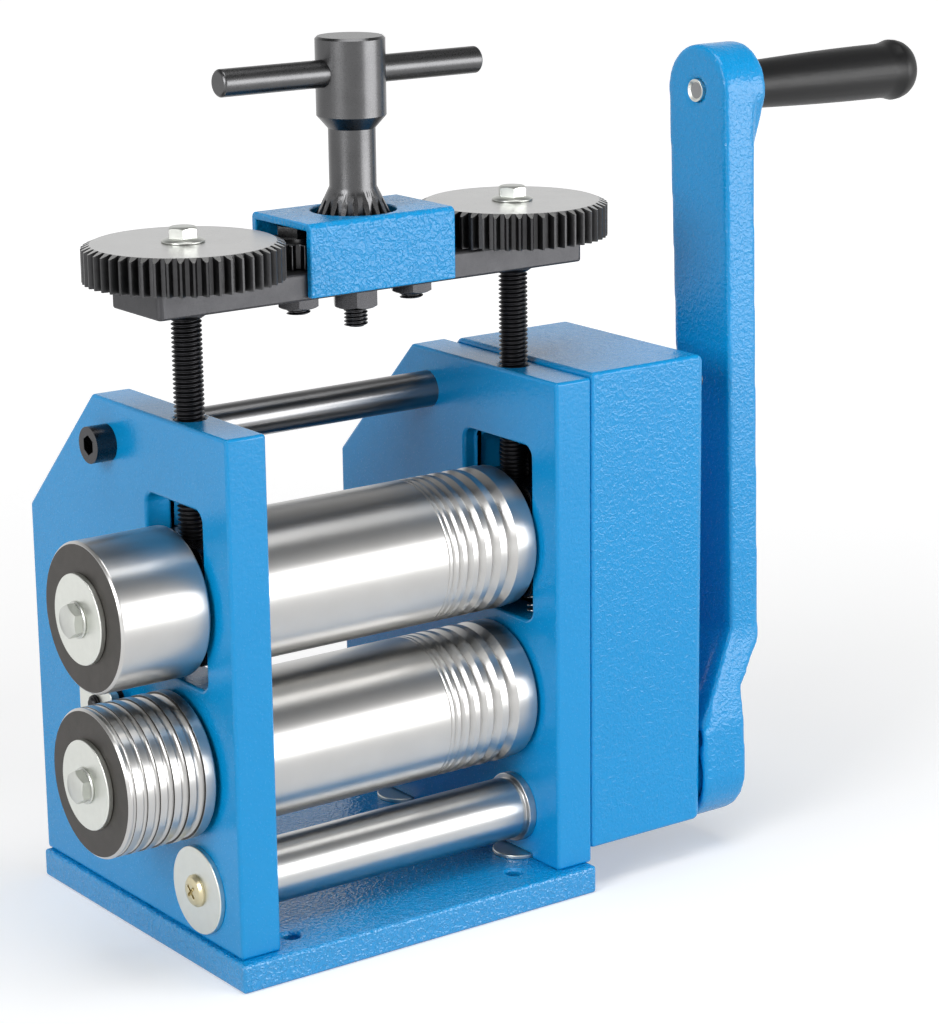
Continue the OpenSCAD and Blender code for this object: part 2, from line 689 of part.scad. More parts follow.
module bar_screw() color("#C9BE8C") placed() difference() {
    union() {
        turned_x(bar_y, bar_z) polygon([[0, -side_washer_t - pan_h], [pan_d / 4, -side_washer_t - pan_h],
            [pan_d / 2 - pan_h / 4, -side_washer_t - 3 * pan_h / 4], [pan_d / 2, -side_washer_t - pan_h / 3],
            [pan_d / 2, -side_washer_t], [0, -side_washer_t]]);
        rod(-side_washer_t - pan_h / 2, bar_y, bar_z, pan_shank, pan_len + pan_h / 2);
    }
    for (turn = [0, 90])
        translate([-side_washer_t - pan_h - over, bar_y, bar_z]) rotate([45 + turn, 0, 0])
            translate([0, -pan_d / 4, -pan_d / 20]) cube([over + pan_h / 2, pan_d / 2, pan_d / 10]);
}
module keeper_plate() color("#B9BCB6") placed() difference() {
    along_x(-keeper_off - keeper_t, keeper_t)
        translate([keeper_y - keeper_l / 2, keeper_z - keeper_w / 2])
            rounded(keeper_l, keeper_w, keeper_w / 6);
    rod(-keeper_off - keeper_t - over, keeper_y, keeper_z, keeper_stud_d + 2 * seat, keeper_t + 2 * over);
}
module keeper_stud() color("#2A2A2C") placed()
    rod(-keeper_off - keeper_t - keeper_stud_out, keeper_y, keeper_z, keeper_stud_d,
        keeper_off + keeper_t + keeper_stud_out + keeper_stud_in);

// Gear case, open towards the right frame
case_screw_places = [[case_screw_front, case_top - case_screw_down],
    [case_d - case_screw_back_in, case_top - frame_slope - case_screw_mid_down],
    [case_d - case_screw_back_in, case_bottom + case_screw_up]];
module case_outline(inset)
    polygon([[inset, case_bottom + inset], [case_d - inset, case_bottom + inset],
        [case_d - inset, case_top - frame_slope - inset * (sqrt(2) - 1)],
        [case_d - frame_slope - inset * (sqrt(2) - 1), case_top - inset], [inset, case_top - inset]]);
// An outline whose two far corners are round, and which runs on past the near side
module far_rounded(w, h, r) {
    square([w - r, h]);
    translate([0, r]) square([w, h - 2 * r]);
    for (y = [r, h - r]) translate([w - r, y]) circle(r);
}
module gear_case() color("#1587D0") placed() difference() {
    union() {
        difference() {
            intersection() {
                along_x(mill_w, case_x1 - mill_w) case_outline(0);
                translate([mill_w, 0, 0]) linear_extrude(case_top)
                    far_rounded(case_x1 - mill_w, case_d, case_r);
                translate([mill_w, case_d, case_bottom]) rotate([90, 0, 0]) linear_extrude(case_d)
                    far_rounded(case_x1 - mill_w, case_top - case_bottom, case_r);
            }
            along_x(mill_w - over, case_in + over) case_outline(case_wall);
        }
        for (p = case_screw_places) rod(mill_w, p[0], p[1], case_boss_d, case_in + over);
    }
    for (p = case_screw_places)
        rod(mill_w - over, p[0], p[1], case_screw_d + 2 * hole_play, case_x1 - mill_w + 2 * over);
    rod(case_in_x - over, crank_y, crank_z, crank_bush_d, case_side + 2 * over);
}
module case_screw(p) color("#2A2A2C") placed() difference() {
    union() {
        rod(mill_w - case_screw_in, p[0], p[1], case_screw_d, case_x1 - mill_w + case_screw_in);
        rod(case_x1, p[0], p[1], case_head_d, case_head_h);
    }
    hex_rod(case_x1 + case_head_h / 2, p[0], p[1], case_head_d / 2, case_head_h);
}
module case_screw_top() case_screw(case_screw_places[0]);
module case_screw_back() case_screw(case_screw_places[1]);
module case_screw_low() case_screw(case_screw_places[2]);
module crank_bush() color("#9A7B4F") placed() difference() {
    union() {
        rod(case_in_x - crank_bush_in, crank_y, crank_z, crank_bush_d, crank_bush_in + case_side);
        rod(case_x1, crank_y, crank_z, crank_flange_d, crank_space - run_gap);
    }
    rod(drive_end_x, crank_y, crank_z, crank_shaft_d + 2 * journal_fit, crank_x0 - drive_end_x);
}
module idler_post() color("#8C8E90") placed() union() {
    rod(mill_w - post_in, post_y, post_z, post_d, post_in + drive_end_x - mill_w + 2 * run_gap);
    rod(mill_w, post_y, post_z, post_shoulder_d, drive_x);
    rod(drive_end_x, post_y, post_z, post_shoulder_d, post_end_t);
}
module reduction_idler() color("#8C8E90") placed() difference() {
    translate([0, post_y, post_z])
        drive_wheel(drive_idler_teeth, drive_idler_phase, drive_gear_x + run_gap, drive_t - 2 * run_gap);
    rod(drive_gear_x, post_y, post_z, post_d + 2 * journal_fit, drive_t);
}

// Lifting springs under the sliding blocks, each one tube of wire wound as a helix. The pitch
// is finer at both ends, by the share of the sine term.
spring_rings = 8;
spring_sides = 6;
spring_end_share = 0.45;
spring_len = upper_z - spring_roof - window_z;
spring_r = (spring_d - spring_wire) / 2;
function spring_middle(i) =
    let (u = i / (spring_rings * spring_turns), angle = i * full_turn / spring_rings)
    [spring_r * cos(angle), spring_r * sin(angle), spring_wire / 2 + (spring_len - spring_wire)
        * (u - spring_end_share * sin(full_turn * u) / (2 * PI))];
spring_points = [for (i = [0:spring_rings * spring_turns], k = [0:spring_sides - 1])
    let (angle = i * full_turn / spring_rings, side = k * full_turn / spring_sides)
    spring_middle(i) + spring_wire / 2 * [cos(side) * cos(angle), cos(side) * sin(angle), sin(side)]];
spring_faces = concat(
    [for (i = [0:spring_rings * spring_turns - 1], k = [0:spring_sides - 1])
        let (a = i * spring_sides + k, b = i * spring_sides + (k + 1) % spring_sides)
            [a, b, a + spring_sides]],
    [for (i = [0:spring_rings * spring_turns - 1], k = [0:spring_sides - 1])
        let (a = i * spring_sides + k, b = i * spring_sides + (k + 1) % spring_sides)
            [b, b + spring_sides, a + spring_sides]],
    [for (k = [1:spring_sides - 2]) [0, k + 1, k]],
    [for (k = [1:spring_sides - 2]) let (a = spring_rings * spring_turns * spring_sides)
        [a, a + k, a + k + 1]]);
spring_least_gap = min([for (i = [0:spring_rings * (spring_turns - 1)],
    j = [i + spring_rings - 2:min(i + spring_rings + 2, spring_rings * spring_turns)])
    norm(spring_middle(i) - spring_middle(j)) - spring_wire]);
echo(spring_least_gap = spring_least_gap);
module spring(x, side) color("#C8CACC") placed()
    translate([x + frame_t / 2, roll_y + side * spring_off, window_z])
        polyhedron(spring_points, spring_faces);
module spring_left_front() spring(0, -1);
module spring_left_back() spring(0, 1);
module spring_right_front() spring(right_x, -1);
module spring_right_back() spring(right_x, 1);

// Rollers. The V grooves widen towards the right end, with a growing flat between them.
function groove_half(i) = groove_min + (groove_max - groove_min) * i / (groove_count - 1);
function groove_flat(i) = groove_flat_min + (groove_flat_max - groove_flat_min) * i / (groove_count - 2);
function groove_x(i) = i == groove_count - 1 ? roll_x1 - groove_end
    : groove_x(i + 1) - groove_half(i) - groove_half(i + 1) - groove_flat(i);
function groove_points(i) = let (x = groove_x(i), w = groove_half(i), r = roll_d / 2)
    [[r, x - w], [r - w, x], [r, x + w]];
module main_roller(z, end_x, x_gear) color("#B7BABC") placed() difference() {
    turned_x(roll_y, z) polygon(concat(
        [[0, side_x0 + seat_in], [shaft_d / 2, side_x0 + seat_in], [shaft_d / 2, -side_gap],
            [journal_d / 2, -side_gap], [journal_d / 2, roll_x0],
            [roll_d / 2 - roll_chamfer, roll_x0], [roll_d / 2, roll_x0 + roll_chamfer]],
        [for (i = [0:groove_count - 1]) each groove_points(i)],
        [[roll_d / 2, roll_x1 - groove_land], [roll_d / 2 - groove_land_step, roll_x1 - groove_land],
            [roll_d / 2 - groove_land_step, roll_x1 - roll_chamfer],
            [roll_d / 2 - groove_land_step - roll_chamfer, roll_x1], [journal_d / 2, roll_x1],
            [journal_d / 2, x_gear], [shaft_d / 2, x_gear], [shaft_d / 2, end_x], [0, end_x]]));
    rod(side_x0 - over, roll_y, z, side_bolt_d + 2 * seat, over + side_bolt_len);
}
module lower_roller() main_roller(lower_z, lower_end_x, long_gear_x);
module upper_roller() main_roller(upper_z, upper_end_x, long_gear_x);
module plain_side_roller(z) turned_x(roll_y, z)
    polygon([[shaft_d / 2 + seat, side_x0], [roll_d / 2 - roll_chamfer, side_x0],
        [roll_d / 2, side_x0 + roll_chamfer], [roll_d / 2, -side_gap - roll_chamfer],
        [roll_d / 2 - roll_chamfer, -side_gap], [shaft_d / 2 + seat, -side_gap]]);
function half_round_r(i) =
    half_round_min + (half_round_max - half_round_min) * i / (half_round_count - 1);
function half_round_x(i) = i == 0 ? side_x0 + half_round_edge
    : half_round_x(i - 1) + half_round_r(i - 1) + half_round_r(i) + half_round_flat;
module lower_side_roller() color("#B7BABC") placed() difference() {
    plain_side_roller(lower_z);
    for (i = [0:half_round_count - 1])
        turned_x(roll_y, lower_z) translate([roll_d / 2, half_round_x(i)]) circle(half_round_r(i));
}
module upper_side_roller() color("#B7BABC") placed() plain_side_roller(upper_z);
module lower_washer() color("#B9BCB6") placed()
    washer(side_x0 - side_washer_t, roll_y, lower_z, side_bolt_d);
module upper_washer() color("#B9BCB6") placed()
    washer(side_x0 - side_washer_t, roll_y, upper_z, side_bolt_d);
module side_bolt(z) color("#A5A39B") placed() union() {
    hex_rod(side_x0 - side_washer_t - side_bolt_h, roll_y, z, side_bolt_af, side_bolt_h);
    rod(side_x0 - side_washer_t - over, roll_y, z, side_bolt_d, side_bolt_len + over);
}
module lower_bolt() side_bolt(lower_z);
module upper_bolt() side_bolt(upper_z);
module long_gear(z, phase) color("#8C8E90") placed() difference() {
    translate([0, roll_y, z]) long_wheel(phase, long_gear_x, long_t);
    rod(long_gear_x - over, roll_y, z, shaft_d + 2 * seat, long_t + 2 * over);
}
module lower_long_gear() long_gear(lower_z, full_turn / 4);
module upper_long_gear() long_gear(upper_z, 3 / 4 * full_turn + full_turn / (2 * long_teeth));
module reduction_gear() color("#8C8E90") placed() difference() {
    union() {
        translate([0, roll_y, lower_z])
            drive_wheel(drive_gear_teeth, drive_gear_phase, drive_gear_x, drive_t);
        rod(long_end_x, roll_y, lower_z, drive_hub_d, drive_gear_x + over - long_end_x);
    }
    rod(long_end_x - over, roll_y, lower_z, shaft_d + 2 * seat, drive_end_x - long_end_x + 2 * over);
}

// Sliding bearing blocks of the upper roller
module block(x, step_x, step_len) color("#232325") placed() difference() {
    union() {
        along_x(x, frame_t) block_outline(0);
        along_x(step_x, step_len) block_outline(rebate_w);
    }
    rod(x - over, roll_y, upper_z, journal_d + 2 * journal_fit, frame_t + 2 * over);
    for (side = [-1, 1])
        post(x + frame_t / 2, roll_y + side * spring_off, upper_z - block_down - over,
            spring_d + 2 * run_gap, block_down + over - spring_roof);
}
module block_outline(grow)
    translate([roll_y - window_w / 2 - grow + block_fit, upper_z - block_down])
        rounded(window_w + 2 * grow - 2 * block_fit, block_down + block_up, window_r);
module left_block() block(0, frame_t - rebate_t + block_fit, rebate_t - block_fit);
module right_block() block(right_x, right_x, rebate_t - block_fit);

// Bridge plate, carried by the screw collars, with the studs of the lift train
module bridge_plate() color("#4B4B4D") placed() difference() {
    translate([0, 0, bridge_z]) linear_extrude(bridge_t)
        let (x0 = left_screw_x - bridge_over, x1 = right_screw_x + bridge_over,
            y0 = roll_y - bridge_w / 2, y1 = roll_y + bridge_w / 2, c = bridge_chamfer)
            polygon([[x0 + c, y0], [x1 - c, y0], [x1, y0 + c], [x1, y1 - c], [x1 - c, y1],
                [x0 + c, y1], [x0, y1 - c], [x0, y0 + c]]);
    for (x = [left_screw_x, right_screw_x])
        post(x, roll_y, bridge_z - over, screw_top_d + 2 * lift_fit, bridge_t + 2 * over);
    for (x = [left_idler_x, mid_x, right_idler_x])
        post(x, roll_y, bridge_z - over, stud_d + 2 * seat, bridge_t + 2 * over);
}
module idler_stud(x) color("#A5A39B") placed() union() {
    post(x, roll_y, bridge_z - stud_nut_h - stud_out, stud_d,
        stud_nut_h + stud_out + bridge_t + gear_under + idler_t + over);
    post(x, roll_y, gear_z + idler_t + lift_fit, stud_head_d, stud_flange_t);
    hex_post(x, roll_y, gear_z + idler_t + lift_fit, stud_head_af, stud_head_h);
    hex_post(x, roll_y, bridge_z - stud_nut_h, stud_nut_af, stud_nut_h);
}
module idler_stud_left() idler_stud(left_idler_x);
module idler_stud_right() idler_stud(right_idler_x);
module handle_stud() color("#2A2A2C") placed() union() {
    post(mid_x, roll_y, bridge_z - mid_nut_h - mid_stud_out, stud_d,
        mid_nut_h + mid_stud_out + bridge_t + handle_stud_up);
    hex_post(mid_x, roll_y, bridge_z - mid_nut_h, mid_nut_af, mid_nut_h);
}
// A bent plate seen from its end: a flat top with round corners and two skirts
module cover_outline(grow, drop)
    let (w = cover_in_w + 2 * grow, low = bridge_top - cover_skirt - drop, high = cover_top - cover_t + grow,
        r = cover_bend - cover_t + grow + seat)
        translate([roll_y - w / 2, low]) {
            square([w, high - low - r]);
            translate([r, 0]) square([w - 2 * r, high - low]);
            for (y = [r, w - r]) translate([y, high - low - r]) circle(r);
        }
module pinion_cover() color("#1587D0") placed() difference() {
    along_x(mid_x - cover_len / 2, cover_len) cover_outline(cover_t, 0);
    along_x(mid_x - cover_len / 2 - over, cover_len + 2 * over)
        translate([roll_y - cover_in_w / 2, bridge_top - cover_skirt - over])
            square([cover_in_w, cover_rise - cover_t + cover_skirt + over]);
    post(mid_x, roll_y, cover_top - cover_t - over, 2 * (pinion_tip_r + cover_hole_gap), cover_t + 2 * over);
}

// Lift screws with their gears and bolts
module lift_screw(x) color("#232325") placed() difference() {
    union() {
        post(x, roll_y, upper_z + block_up, screw_d, bridge_z - collar_t - upper_z - block_up);
        post(x, roll_y, bridge_z - collar_t, collar_d, collar_t);
        post(x, roll_y, bridge_z - over, screw_top_d, gear_top - bridge_z + over - seat);
    }
    post(x, roll_y, gear_top - gear_bolt_len, gear_bolt_d + 2 * seat, gear_bolt_len + over);
}
module left_screw() lift_screw(left_screw_x);
module right_screw() lift_screw(right_screw_x);
module lift_gear(x) color("#C4C4C4") placed() difference() {
    translate([x, roll_y, 0]) intersection() {
        lift_wheel(lift_teeth, 0, gear_z, lift_gear_t);
        rotate_extrude() polygon([[0, gear_z], [lift_tip_r + seat, gear_z],
            [lift_tip_r + seat, gear_top - lift_cone_h], [lift_root_r, gear_top], [0, gear_top]]);
    }
    post(x, roll_y, gear_z - over, screw_top_d + 2 * seat, lift_gear_t + 2 * over);
}
module left_lift_gear() lift_gear(left_screw_x);
module right_lift_gear() lift_gear(right_screw_x);
module gear_bolt(x) color("#A5A39B") placed() union() {
    post(x, roll_y, gear_top, gear_bolt_flange_d, gear_bolt_flange_t);
    hex_post(x, roll_y, gear_top, gear_bolt_af, gear_bolt_flange_t + gear_bolt_h);
    post(x, roll_y, gear_top - gear_bolt_len + over, gear_bolt_d, gear_bolt_len);
}
module left_gear_bolt() gear_bolt(left_screw_x);
module right_gear_bolt() gear_bolt(right_screw_x);
module lift_idler(x) color("#C4C4C4") placed() difference() {
    translate([x, roll_y, 0])
        lift_wheel(pinion_teeth, full_turn / (2 * pinion_teeth), gear_z, idler_t);
    post(x, roll_y, gear_z - over, stud_d + 2 * lift_fit, idler_t + 2 * over);
}
module left_idler() lift_idler(left_idler_x);
module right_idler() lift_idler(right_idler_x);

// T handle, whose lower end is cut as the pinion
module t_handle() color("#2A2A2C") placed() translate([mid_x, roll_y, bridge_top]) difference() {
    union() {
        intersection() {
            lift_wheel(pinion_teeth, 0, gear_under, tooth_runout - gear_under);
            rotate_extrude() polygon([[0, 0], [pinion_tip_r + seat, 0], [pinion_tip_r + seat, tooth_end],
                [neck_d / 2, tooth_runout], [0, tooth_runout]]);
        }
        rotate_extrude() polygon([[0, tooth_end], [neck_d / 2, tooth_end], [neck_d / 2, neck_end],
            [hub_d / 2, hub_start], [hub_d / 2, hub_top - handle_chamfer],
            [hub_d / 2 - handle_chamfer, hub_top], [0, hub_top]]);
    }
    translate([0, 0, -over]) cylinder(d = stud_d + 2 * lift_fit, h = over + handle_stud_up + run_gap);
    translate([-hub_d, 0, tbar_z]) rotate([0, 90, 0]) cylinder(d = tbar_d + 2 * seat, h = 2 * hub_d);
}
module t_bar() color("#2A2A2C") placed() translate([mid_x, 0, 0]) turned_x(roll_y, bridge_top + tbar_z)
    polygon([[0, -tbar_len / 2], [tbar_d / 2 - handle_chamfer, -tbar_len / 2],
        [tbar_d / 2, -tbar_len / 2 + handle_chamfer], [tbar_d / 2, tbar_len / 2 - handle_chamfer],
        [tbar_d / 2 - handle_chamfer, tbar_len / 2], [0, tbar_len / 2]]);

// Crank, drawn upright and then leaned about its shaft
module leaned() placed() translate([0, crank_y, crank_z]) rotate([-crank_lean, 0, 0]) children();
module arm_front() {
    circle(crank_low_r);
    translate([0, crank_len]) circle(crank_top_r);
    translate([-arm_half, 0]) square([2 * arm_half, crank_len]);
}
module arm_side()
    polygon([[crank_x0, -crank_low_r], [crank_x0 + crank_low_t, -crank_low_r],
        [crank_x0 + crank_low_t, step_out_low], [arm_x1, step_out_high],
        [arm_x1, crank_len + crank_top_r], [arm_x1 - arm_t, crank_len + crank_top_r],
        [arm_x1 - arm_t, step_in_high], [crank_x0, step_in_low]]);
module crank_arm() color("#1587D0") leaned() difference() {
    union() {
        intersection() {
            along_x(crank_x0, arm_x1 - crank_x0) arm_front();
            translate([0, crank_low_r, 0]) rotate([90, 0, 0]) linear_extrude(2 * crank_low_r) arm_side();
        }
        rod(arm_x1 - over, 0, crank_len, 2 * crank_top_r, crank_top_x - arm_x1 + over);
    }
    rod(crank_x0 - over, 0, 0, crank_shaft_d + 2 * seat, crank_low_t + 2 * over);
    rod(crank_x0, 0, crank_len, spindle_d + 2 * seat, crank_top_x - crank_x0 + over);
}
module crank_shaft() color("#8C8E90") placed() union() {
    rod(mill_w - crank_tip_in + run_gap, crank_y, crank_z, crank_tip_d, crank_tip_in);
    rod(mill_w + run_gap, crank_y, crank_z, 2 * pinion_root_r, drive_end_x - mill_w);
    rod(drive_end_x, crank_y, crank_z, crank_shaft_d, crank_x0 + crank_low_t - drive_end_x);
    translate([0, crank_y, crank_z])
        drive_wheel(drive_pinion_teeth, pinion_phase, drive_gear_x, drive_t);
}
pinion_root_r = drive_module * (drive_pinion_teeth / 2 - drive_root_share);
hollow_x = crank_top_x + run_gap + grip_taper + grip_ring_at + grip_end - grip_hollow;
module grip_spindle() color("#8C8E90") leaned() union() {
    rod(arm_x1 - arm_t - spindle_out, 0, crank_len, spindle_d,
        hollow_x + run_gap - arm_x1 + arm_t + spindle_out);
    rod(hollow_x + run_gap, 0, crank_len, spindle_head_d, spindle_head_t);
}
module grip() color("#1B1B1D") leaned() translate([crank_top_x + run_gap, 0, 0]) difference() {
    turned_x(0, crank_len) polygon(concat(
        [[spindle_d / 2 + journal_fit, 0]],
        [for (t = [0:0.125:1]) [(grip_low_d + (grip_high_d - grip_low_d) * sin(90 * t)) / 2, grip_taper * t]],
        [for (t = [0.25:0.25:1]) [grip_high_d / 2 + (grip_ring_d - grip_high_d) / 2 * (1 - cos(90 * t)),
            grip_taper + grip_ring_at * t]],
        [for (t = [0.2:0.2:1])
            [grip_ring_d / 2 - (grip_ring_d - grip_hollow_d - grip_lip) / 2 * (1 - cos(90 * t)),
                grip_taper + grip_ring_at + grip_end * sin(90 * t)]],
        [[grip_hollow_d / 2, grip_taper + grip_ring_at + grip_end],
            [grip_hollow_d / 2, grip_taper + grip_ring_at + grip_end - grip_hollow],
            [spindle_d / 2 + journal_fit, grip_taper + grip_ring_at + grip_end - grip_hollow]]));
}

base_plate();
foot_left_front();
foot_left_back();
foot_right_front();
foot_right_back();
left_frame();
right_frame();
left_bush();
right_bush();
top_tie_rod();
tie_screw_left();
tie_screw_right();
bottom_bar();
bar_washer();
bar_screw();
keeper_plate();
keeper_stud();
gear_case();
case_screw_top();
case_screw_back();
case_screw_low();
crank_bush();
idler_post();
spring_left_front();
spring_left_back();
spring_right_front();
spring_right_back();
lower_roller();
lower_side_roller();
lower_washer();
lower_bolt();
lower_long_gear();
reduction_gear();
upper_roller();
upper_side_roller();
upper_washer();
upper_bolt();
upper_long_gear();
left_block();
right_block();
bridge_plate();
idler_stud_left();
idler_stud_right();
handle_stud();
pinion_cover();
left_screw();
left_lift_gear();
left_gear_bolt();
right_screw();
right_lift_gear();
right_gear_bolt();
left_idler();
right_idler();
t_handle();
t_bar();
crank_arm();
crank_shaft();
grip_spindle();
grip();
reduction_idler();
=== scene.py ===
"""Looks of a hand cranked jewellers rolling mill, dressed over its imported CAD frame.

The frame is in metres: X runs along the rollers towards the gear case, Y to the back and Z up,
with the origin in the middle of the base plate's underside. Sizes in this script are in
millimetres unless a line says otherwise, and names that end in _X, _Y or _Z are places of the
CAD drawing, which counts from the left frame's outer face, the frames' front edges and the top
of the base plate.
"""
import itertools
import json
import math

import bmesh
import bpy
from mathutils import Matrix, Vector


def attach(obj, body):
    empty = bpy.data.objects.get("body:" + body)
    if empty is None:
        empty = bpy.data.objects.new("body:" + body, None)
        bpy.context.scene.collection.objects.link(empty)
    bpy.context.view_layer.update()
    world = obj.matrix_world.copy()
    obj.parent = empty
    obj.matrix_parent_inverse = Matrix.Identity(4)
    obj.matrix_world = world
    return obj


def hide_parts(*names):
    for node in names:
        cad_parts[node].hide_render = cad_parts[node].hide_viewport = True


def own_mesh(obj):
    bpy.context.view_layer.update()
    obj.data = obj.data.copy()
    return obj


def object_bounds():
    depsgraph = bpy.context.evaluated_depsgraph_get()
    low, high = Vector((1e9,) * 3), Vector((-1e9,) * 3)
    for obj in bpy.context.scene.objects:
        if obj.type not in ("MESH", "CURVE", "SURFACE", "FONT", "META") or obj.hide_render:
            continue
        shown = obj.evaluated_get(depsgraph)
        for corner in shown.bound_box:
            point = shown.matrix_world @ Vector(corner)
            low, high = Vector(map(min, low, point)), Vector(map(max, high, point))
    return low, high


MM = 0.001
STAY = Matrix.Identity(4)
bpy.context.scene.view_settings.view_transform = "Standard"
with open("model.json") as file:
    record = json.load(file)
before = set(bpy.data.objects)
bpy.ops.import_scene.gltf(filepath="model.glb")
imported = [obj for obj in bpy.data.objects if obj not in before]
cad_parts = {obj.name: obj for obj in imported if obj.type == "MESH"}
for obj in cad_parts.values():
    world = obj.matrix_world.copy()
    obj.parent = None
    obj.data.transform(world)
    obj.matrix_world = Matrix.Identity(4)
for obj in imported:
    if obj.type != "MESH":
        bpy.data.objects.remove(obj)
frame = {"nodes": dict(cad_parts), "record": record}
CAD_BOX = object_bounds()
NODES = frame["nodes"]
BODIES = frame["record"]["behaviour"]["bodies"]
BODY_OF = {node: body for body, nodes in BODIES.items() for node in nodes}


# Places of the CAD drawing
MIDDLE_X = 71.0
MIDDLE_Y = 63.5
BASE_THICKNESS = 10.0
ROLL_Y = 34.0
SIDE_WASHER_X = -36.5
LOWER_ROLL_Z = 59.5
UPPER_ROLL_Z = 115.5
SCREW_X = {"left": 7.5, "right": 137.5}
SCREW_FOOT_Z = 135.5
STUD_X = {"left": 50.0, "right": 95.0}
HANDLE_X = 72.5
BRIDGE_FOOT_Z = 211.0
COLLAR_Z = BRIDGE_FOOT_Z - 2.5
GEAR_TOP_Z = 232.3
KEEPER_Y = 75.0
KEEPER_Z = 71.0
CASE_SIDE_X = 196.0

# Crank arm: places in X, and sizes to either side of its middle and up the leaning arm
CRANK_Y = 18.0
CRANK_Z = 19.0
ARM_LEAN = math.radians(2.3)
GRIP_UP = 245.0
ARM_X = (213.7, 227.3)
ARM_HALF = 14.2
BOSS_X = 232.7
BOSS_R = 16.0
HUB_X = (199.5, 216.2)
HUB_R = 19.0
FOOT_X = 196.4
FOOT_BORE_R = 16.3
CORE_HALF = 9.0

# Metric threads: outer diameter and pitch, and the angle up to which they are shaded smooth
M6 = (6.0, 1.0)
M8 = (8.0, 1.25)
M10 = (10.0, 1.5)
THREAD_SMOOTH = 24.0

# Camera at the photograph's viewing angle, found by fitting the mill's edges: metres and degrees
CAMERA_PLACE = Vector((-0.55946, -0.87067, 0.41184))
CAMERA_AZIMUTH = -36.55
CAMERA_ELEVATION = 15.52
CAMERA_ROLL = -0.48
FOCAL_PX = 3098.88
CENTRE_SHIFT_PX = (40.0, 31.71)
PHOTO_HEIGHT_PX = 1024
SENSOR = 36.0


def make_camera():
    """The photograph's camera, with the small shift that its framing needs."""
    azimuth = math.radians(CAMERA_AZIMUTH)
    elevation = math.radians(CAMERA_ELEVATION)
    roll = math.radians(CAMERA_ROLL)
    back = Vector((math.sin(azimuth) * math.cos(elevation),
                   -math.cos(azimuth) * math.cos(elevation), math.sin(elevation)))
    level_right = Vector((math.cos(azimuth), math.sin(azimuth), 0))
    level_up = back.cross(level_right)
    right = math.cos(roll) * level_right + math.sin(roll) * level_up
    up = math.cos(roll) * level_up - math.sin(roll) * level_right
    data = bpy.data.cameras.new("photo_camera")
    data.sensor_width = SENSOR
    data.lens = FOCAL_PX / PHOTO_HEIGHT_PX * SENSOR
    data.shift_x = -CENTRE_SHIFT_PX[0] / PHOTO_HEIGHT_PX
    data.shift_y = CENTRE_SHIFT_PX[1] / PHOTO_HEIGHT_PX
    data.clip_start = 0.05
    data.clip_end = 20.0
    camera = bpy.data.objects.new("photo_camera", data)
    turn = Matrix((right, up, back)).transposed().to_4x4()
    camera.matrix_world = Matrix.Translation(CAMERA_PLACE) @ turn
    bpy.context.scene.collection.objects.link(camera)
    bpy.context.scene.camera = camera


# Material helpers
def colour(hex_code):
    """An sRGB hex colour as linear RGBA."""
    channels = [int(hex_code[i:i + 2], 16) / 255 for i in (1, 3, 5)]
    linear = [c / 12.92 if c <= 0.04045 else ((c + 0.055) / 1.055) ** 2.4 for c in channels]
    return (*linear, 1.0)


def add(tree, kind, values=None, links=None, **settings):
    """Adds a node with its settings, socket values and links from other nodes' outputs."""
    node = tree.nodes.new(kind)
    for name, value in settings.items():
        setattr(node, name, value)
    for name, value in (values or {}).items():
        node.inputs[name].default_value = value
    for name, source in (links or {}).items():
        tree.links.new(source, node.inputs[name])
    return node


def new_material(name):
    """An empty node material with its output, and Object coordinates to build patterns on."""
    material = bpy.data.materials.new(name)
    material.use_nodes = True
    tree = material.node_tree
    tree.nodes.clear()
    out = add(tree, "ShaderNodeOutputMaterial")
    place = add(tree, "ShaderNodeTexCoord").outputs["Object"]
    return material, tree, out, place


def per_mm(size):
    """The texture scale whose features are about that many millimetres wide."""
    return 1.0 / (size * MM)


def noise(tree, place, size, detail=2.0, roughness=0.5, squeeze=(1, 1, 1)):
    """Noise with features of about that size, squeezed along the axes."""
    scaled = add(tree, "ShaderNodeMapping", {"Scale": [s * per_mm(size) for s in squeeze]},
                 {"Vector": place})
    texture = add(tree, "ShaderNodeTexNoise",
                  {"Scale": 1.0, "Detail": detail, "Roughness": roughness},
                  {"Vector": scaled.outputs["Vector"]})
    return texture.outputs["Fac"]


def ramp(tree, factor, low, high, low_value, high_value, **settings):
    """Maps a range of the factor onto a range of values."""
    limits = {"From Min": low, "From Max": high, "To Min": low_value, "To Max": high_value}
    ranged = add(tree, "ShaderNodeMapRange", limits, {"Value": factor}, **settings)
    return ranged.outputs["Result"]


def mix(tree, factor, first, second):
    """Blends two hex colours by a factor."""
    node = add(tree, "ShaderNodeMix", data_type="RGBA")
    # This node's colours are its inputs 6 and 7 and its output 2
    node.inputs[6].default_value = colour(first)
    node.inputs[7].default_value = colour(second)
    tree.links.new(factor, node.inputs[0])
    return node.outputs[2]


def cells(tree, place, size, smoothness, warp):
    """Soft round cells of about that size, stirred a little, one for each hammered dimple."""
    spot = add(tree, "ShaderNodeVectorMath", {"Scale": per_mm(size)}, {0: place},
               operation="SCALE").outputs[0]
    stir = add(tree, "ShaderNodeTexNoise", {"Scale": 0.7, "Detail": 1.0}, {"Vector": spot})
    moved = add(tree, "ShaderNodeVectorMath", {"Scale": warp}, {0: stir.outputs["Color"]},
                operation="SCALE")
    stirred = add(tree, "ShaderNodeVectorMath", None, {0: spot, 1: moved.outputs[0]},
                  operation="ADD")
    dimples = add(tree, "ShaderNodeTexVoronoi", {"Scale": 1.0, "Smoothness": smoothness},
                  {"Vector": stirred.outputs[0]}, feature="SMOOTH_F1")
    return dimples.outputs["Distance"]


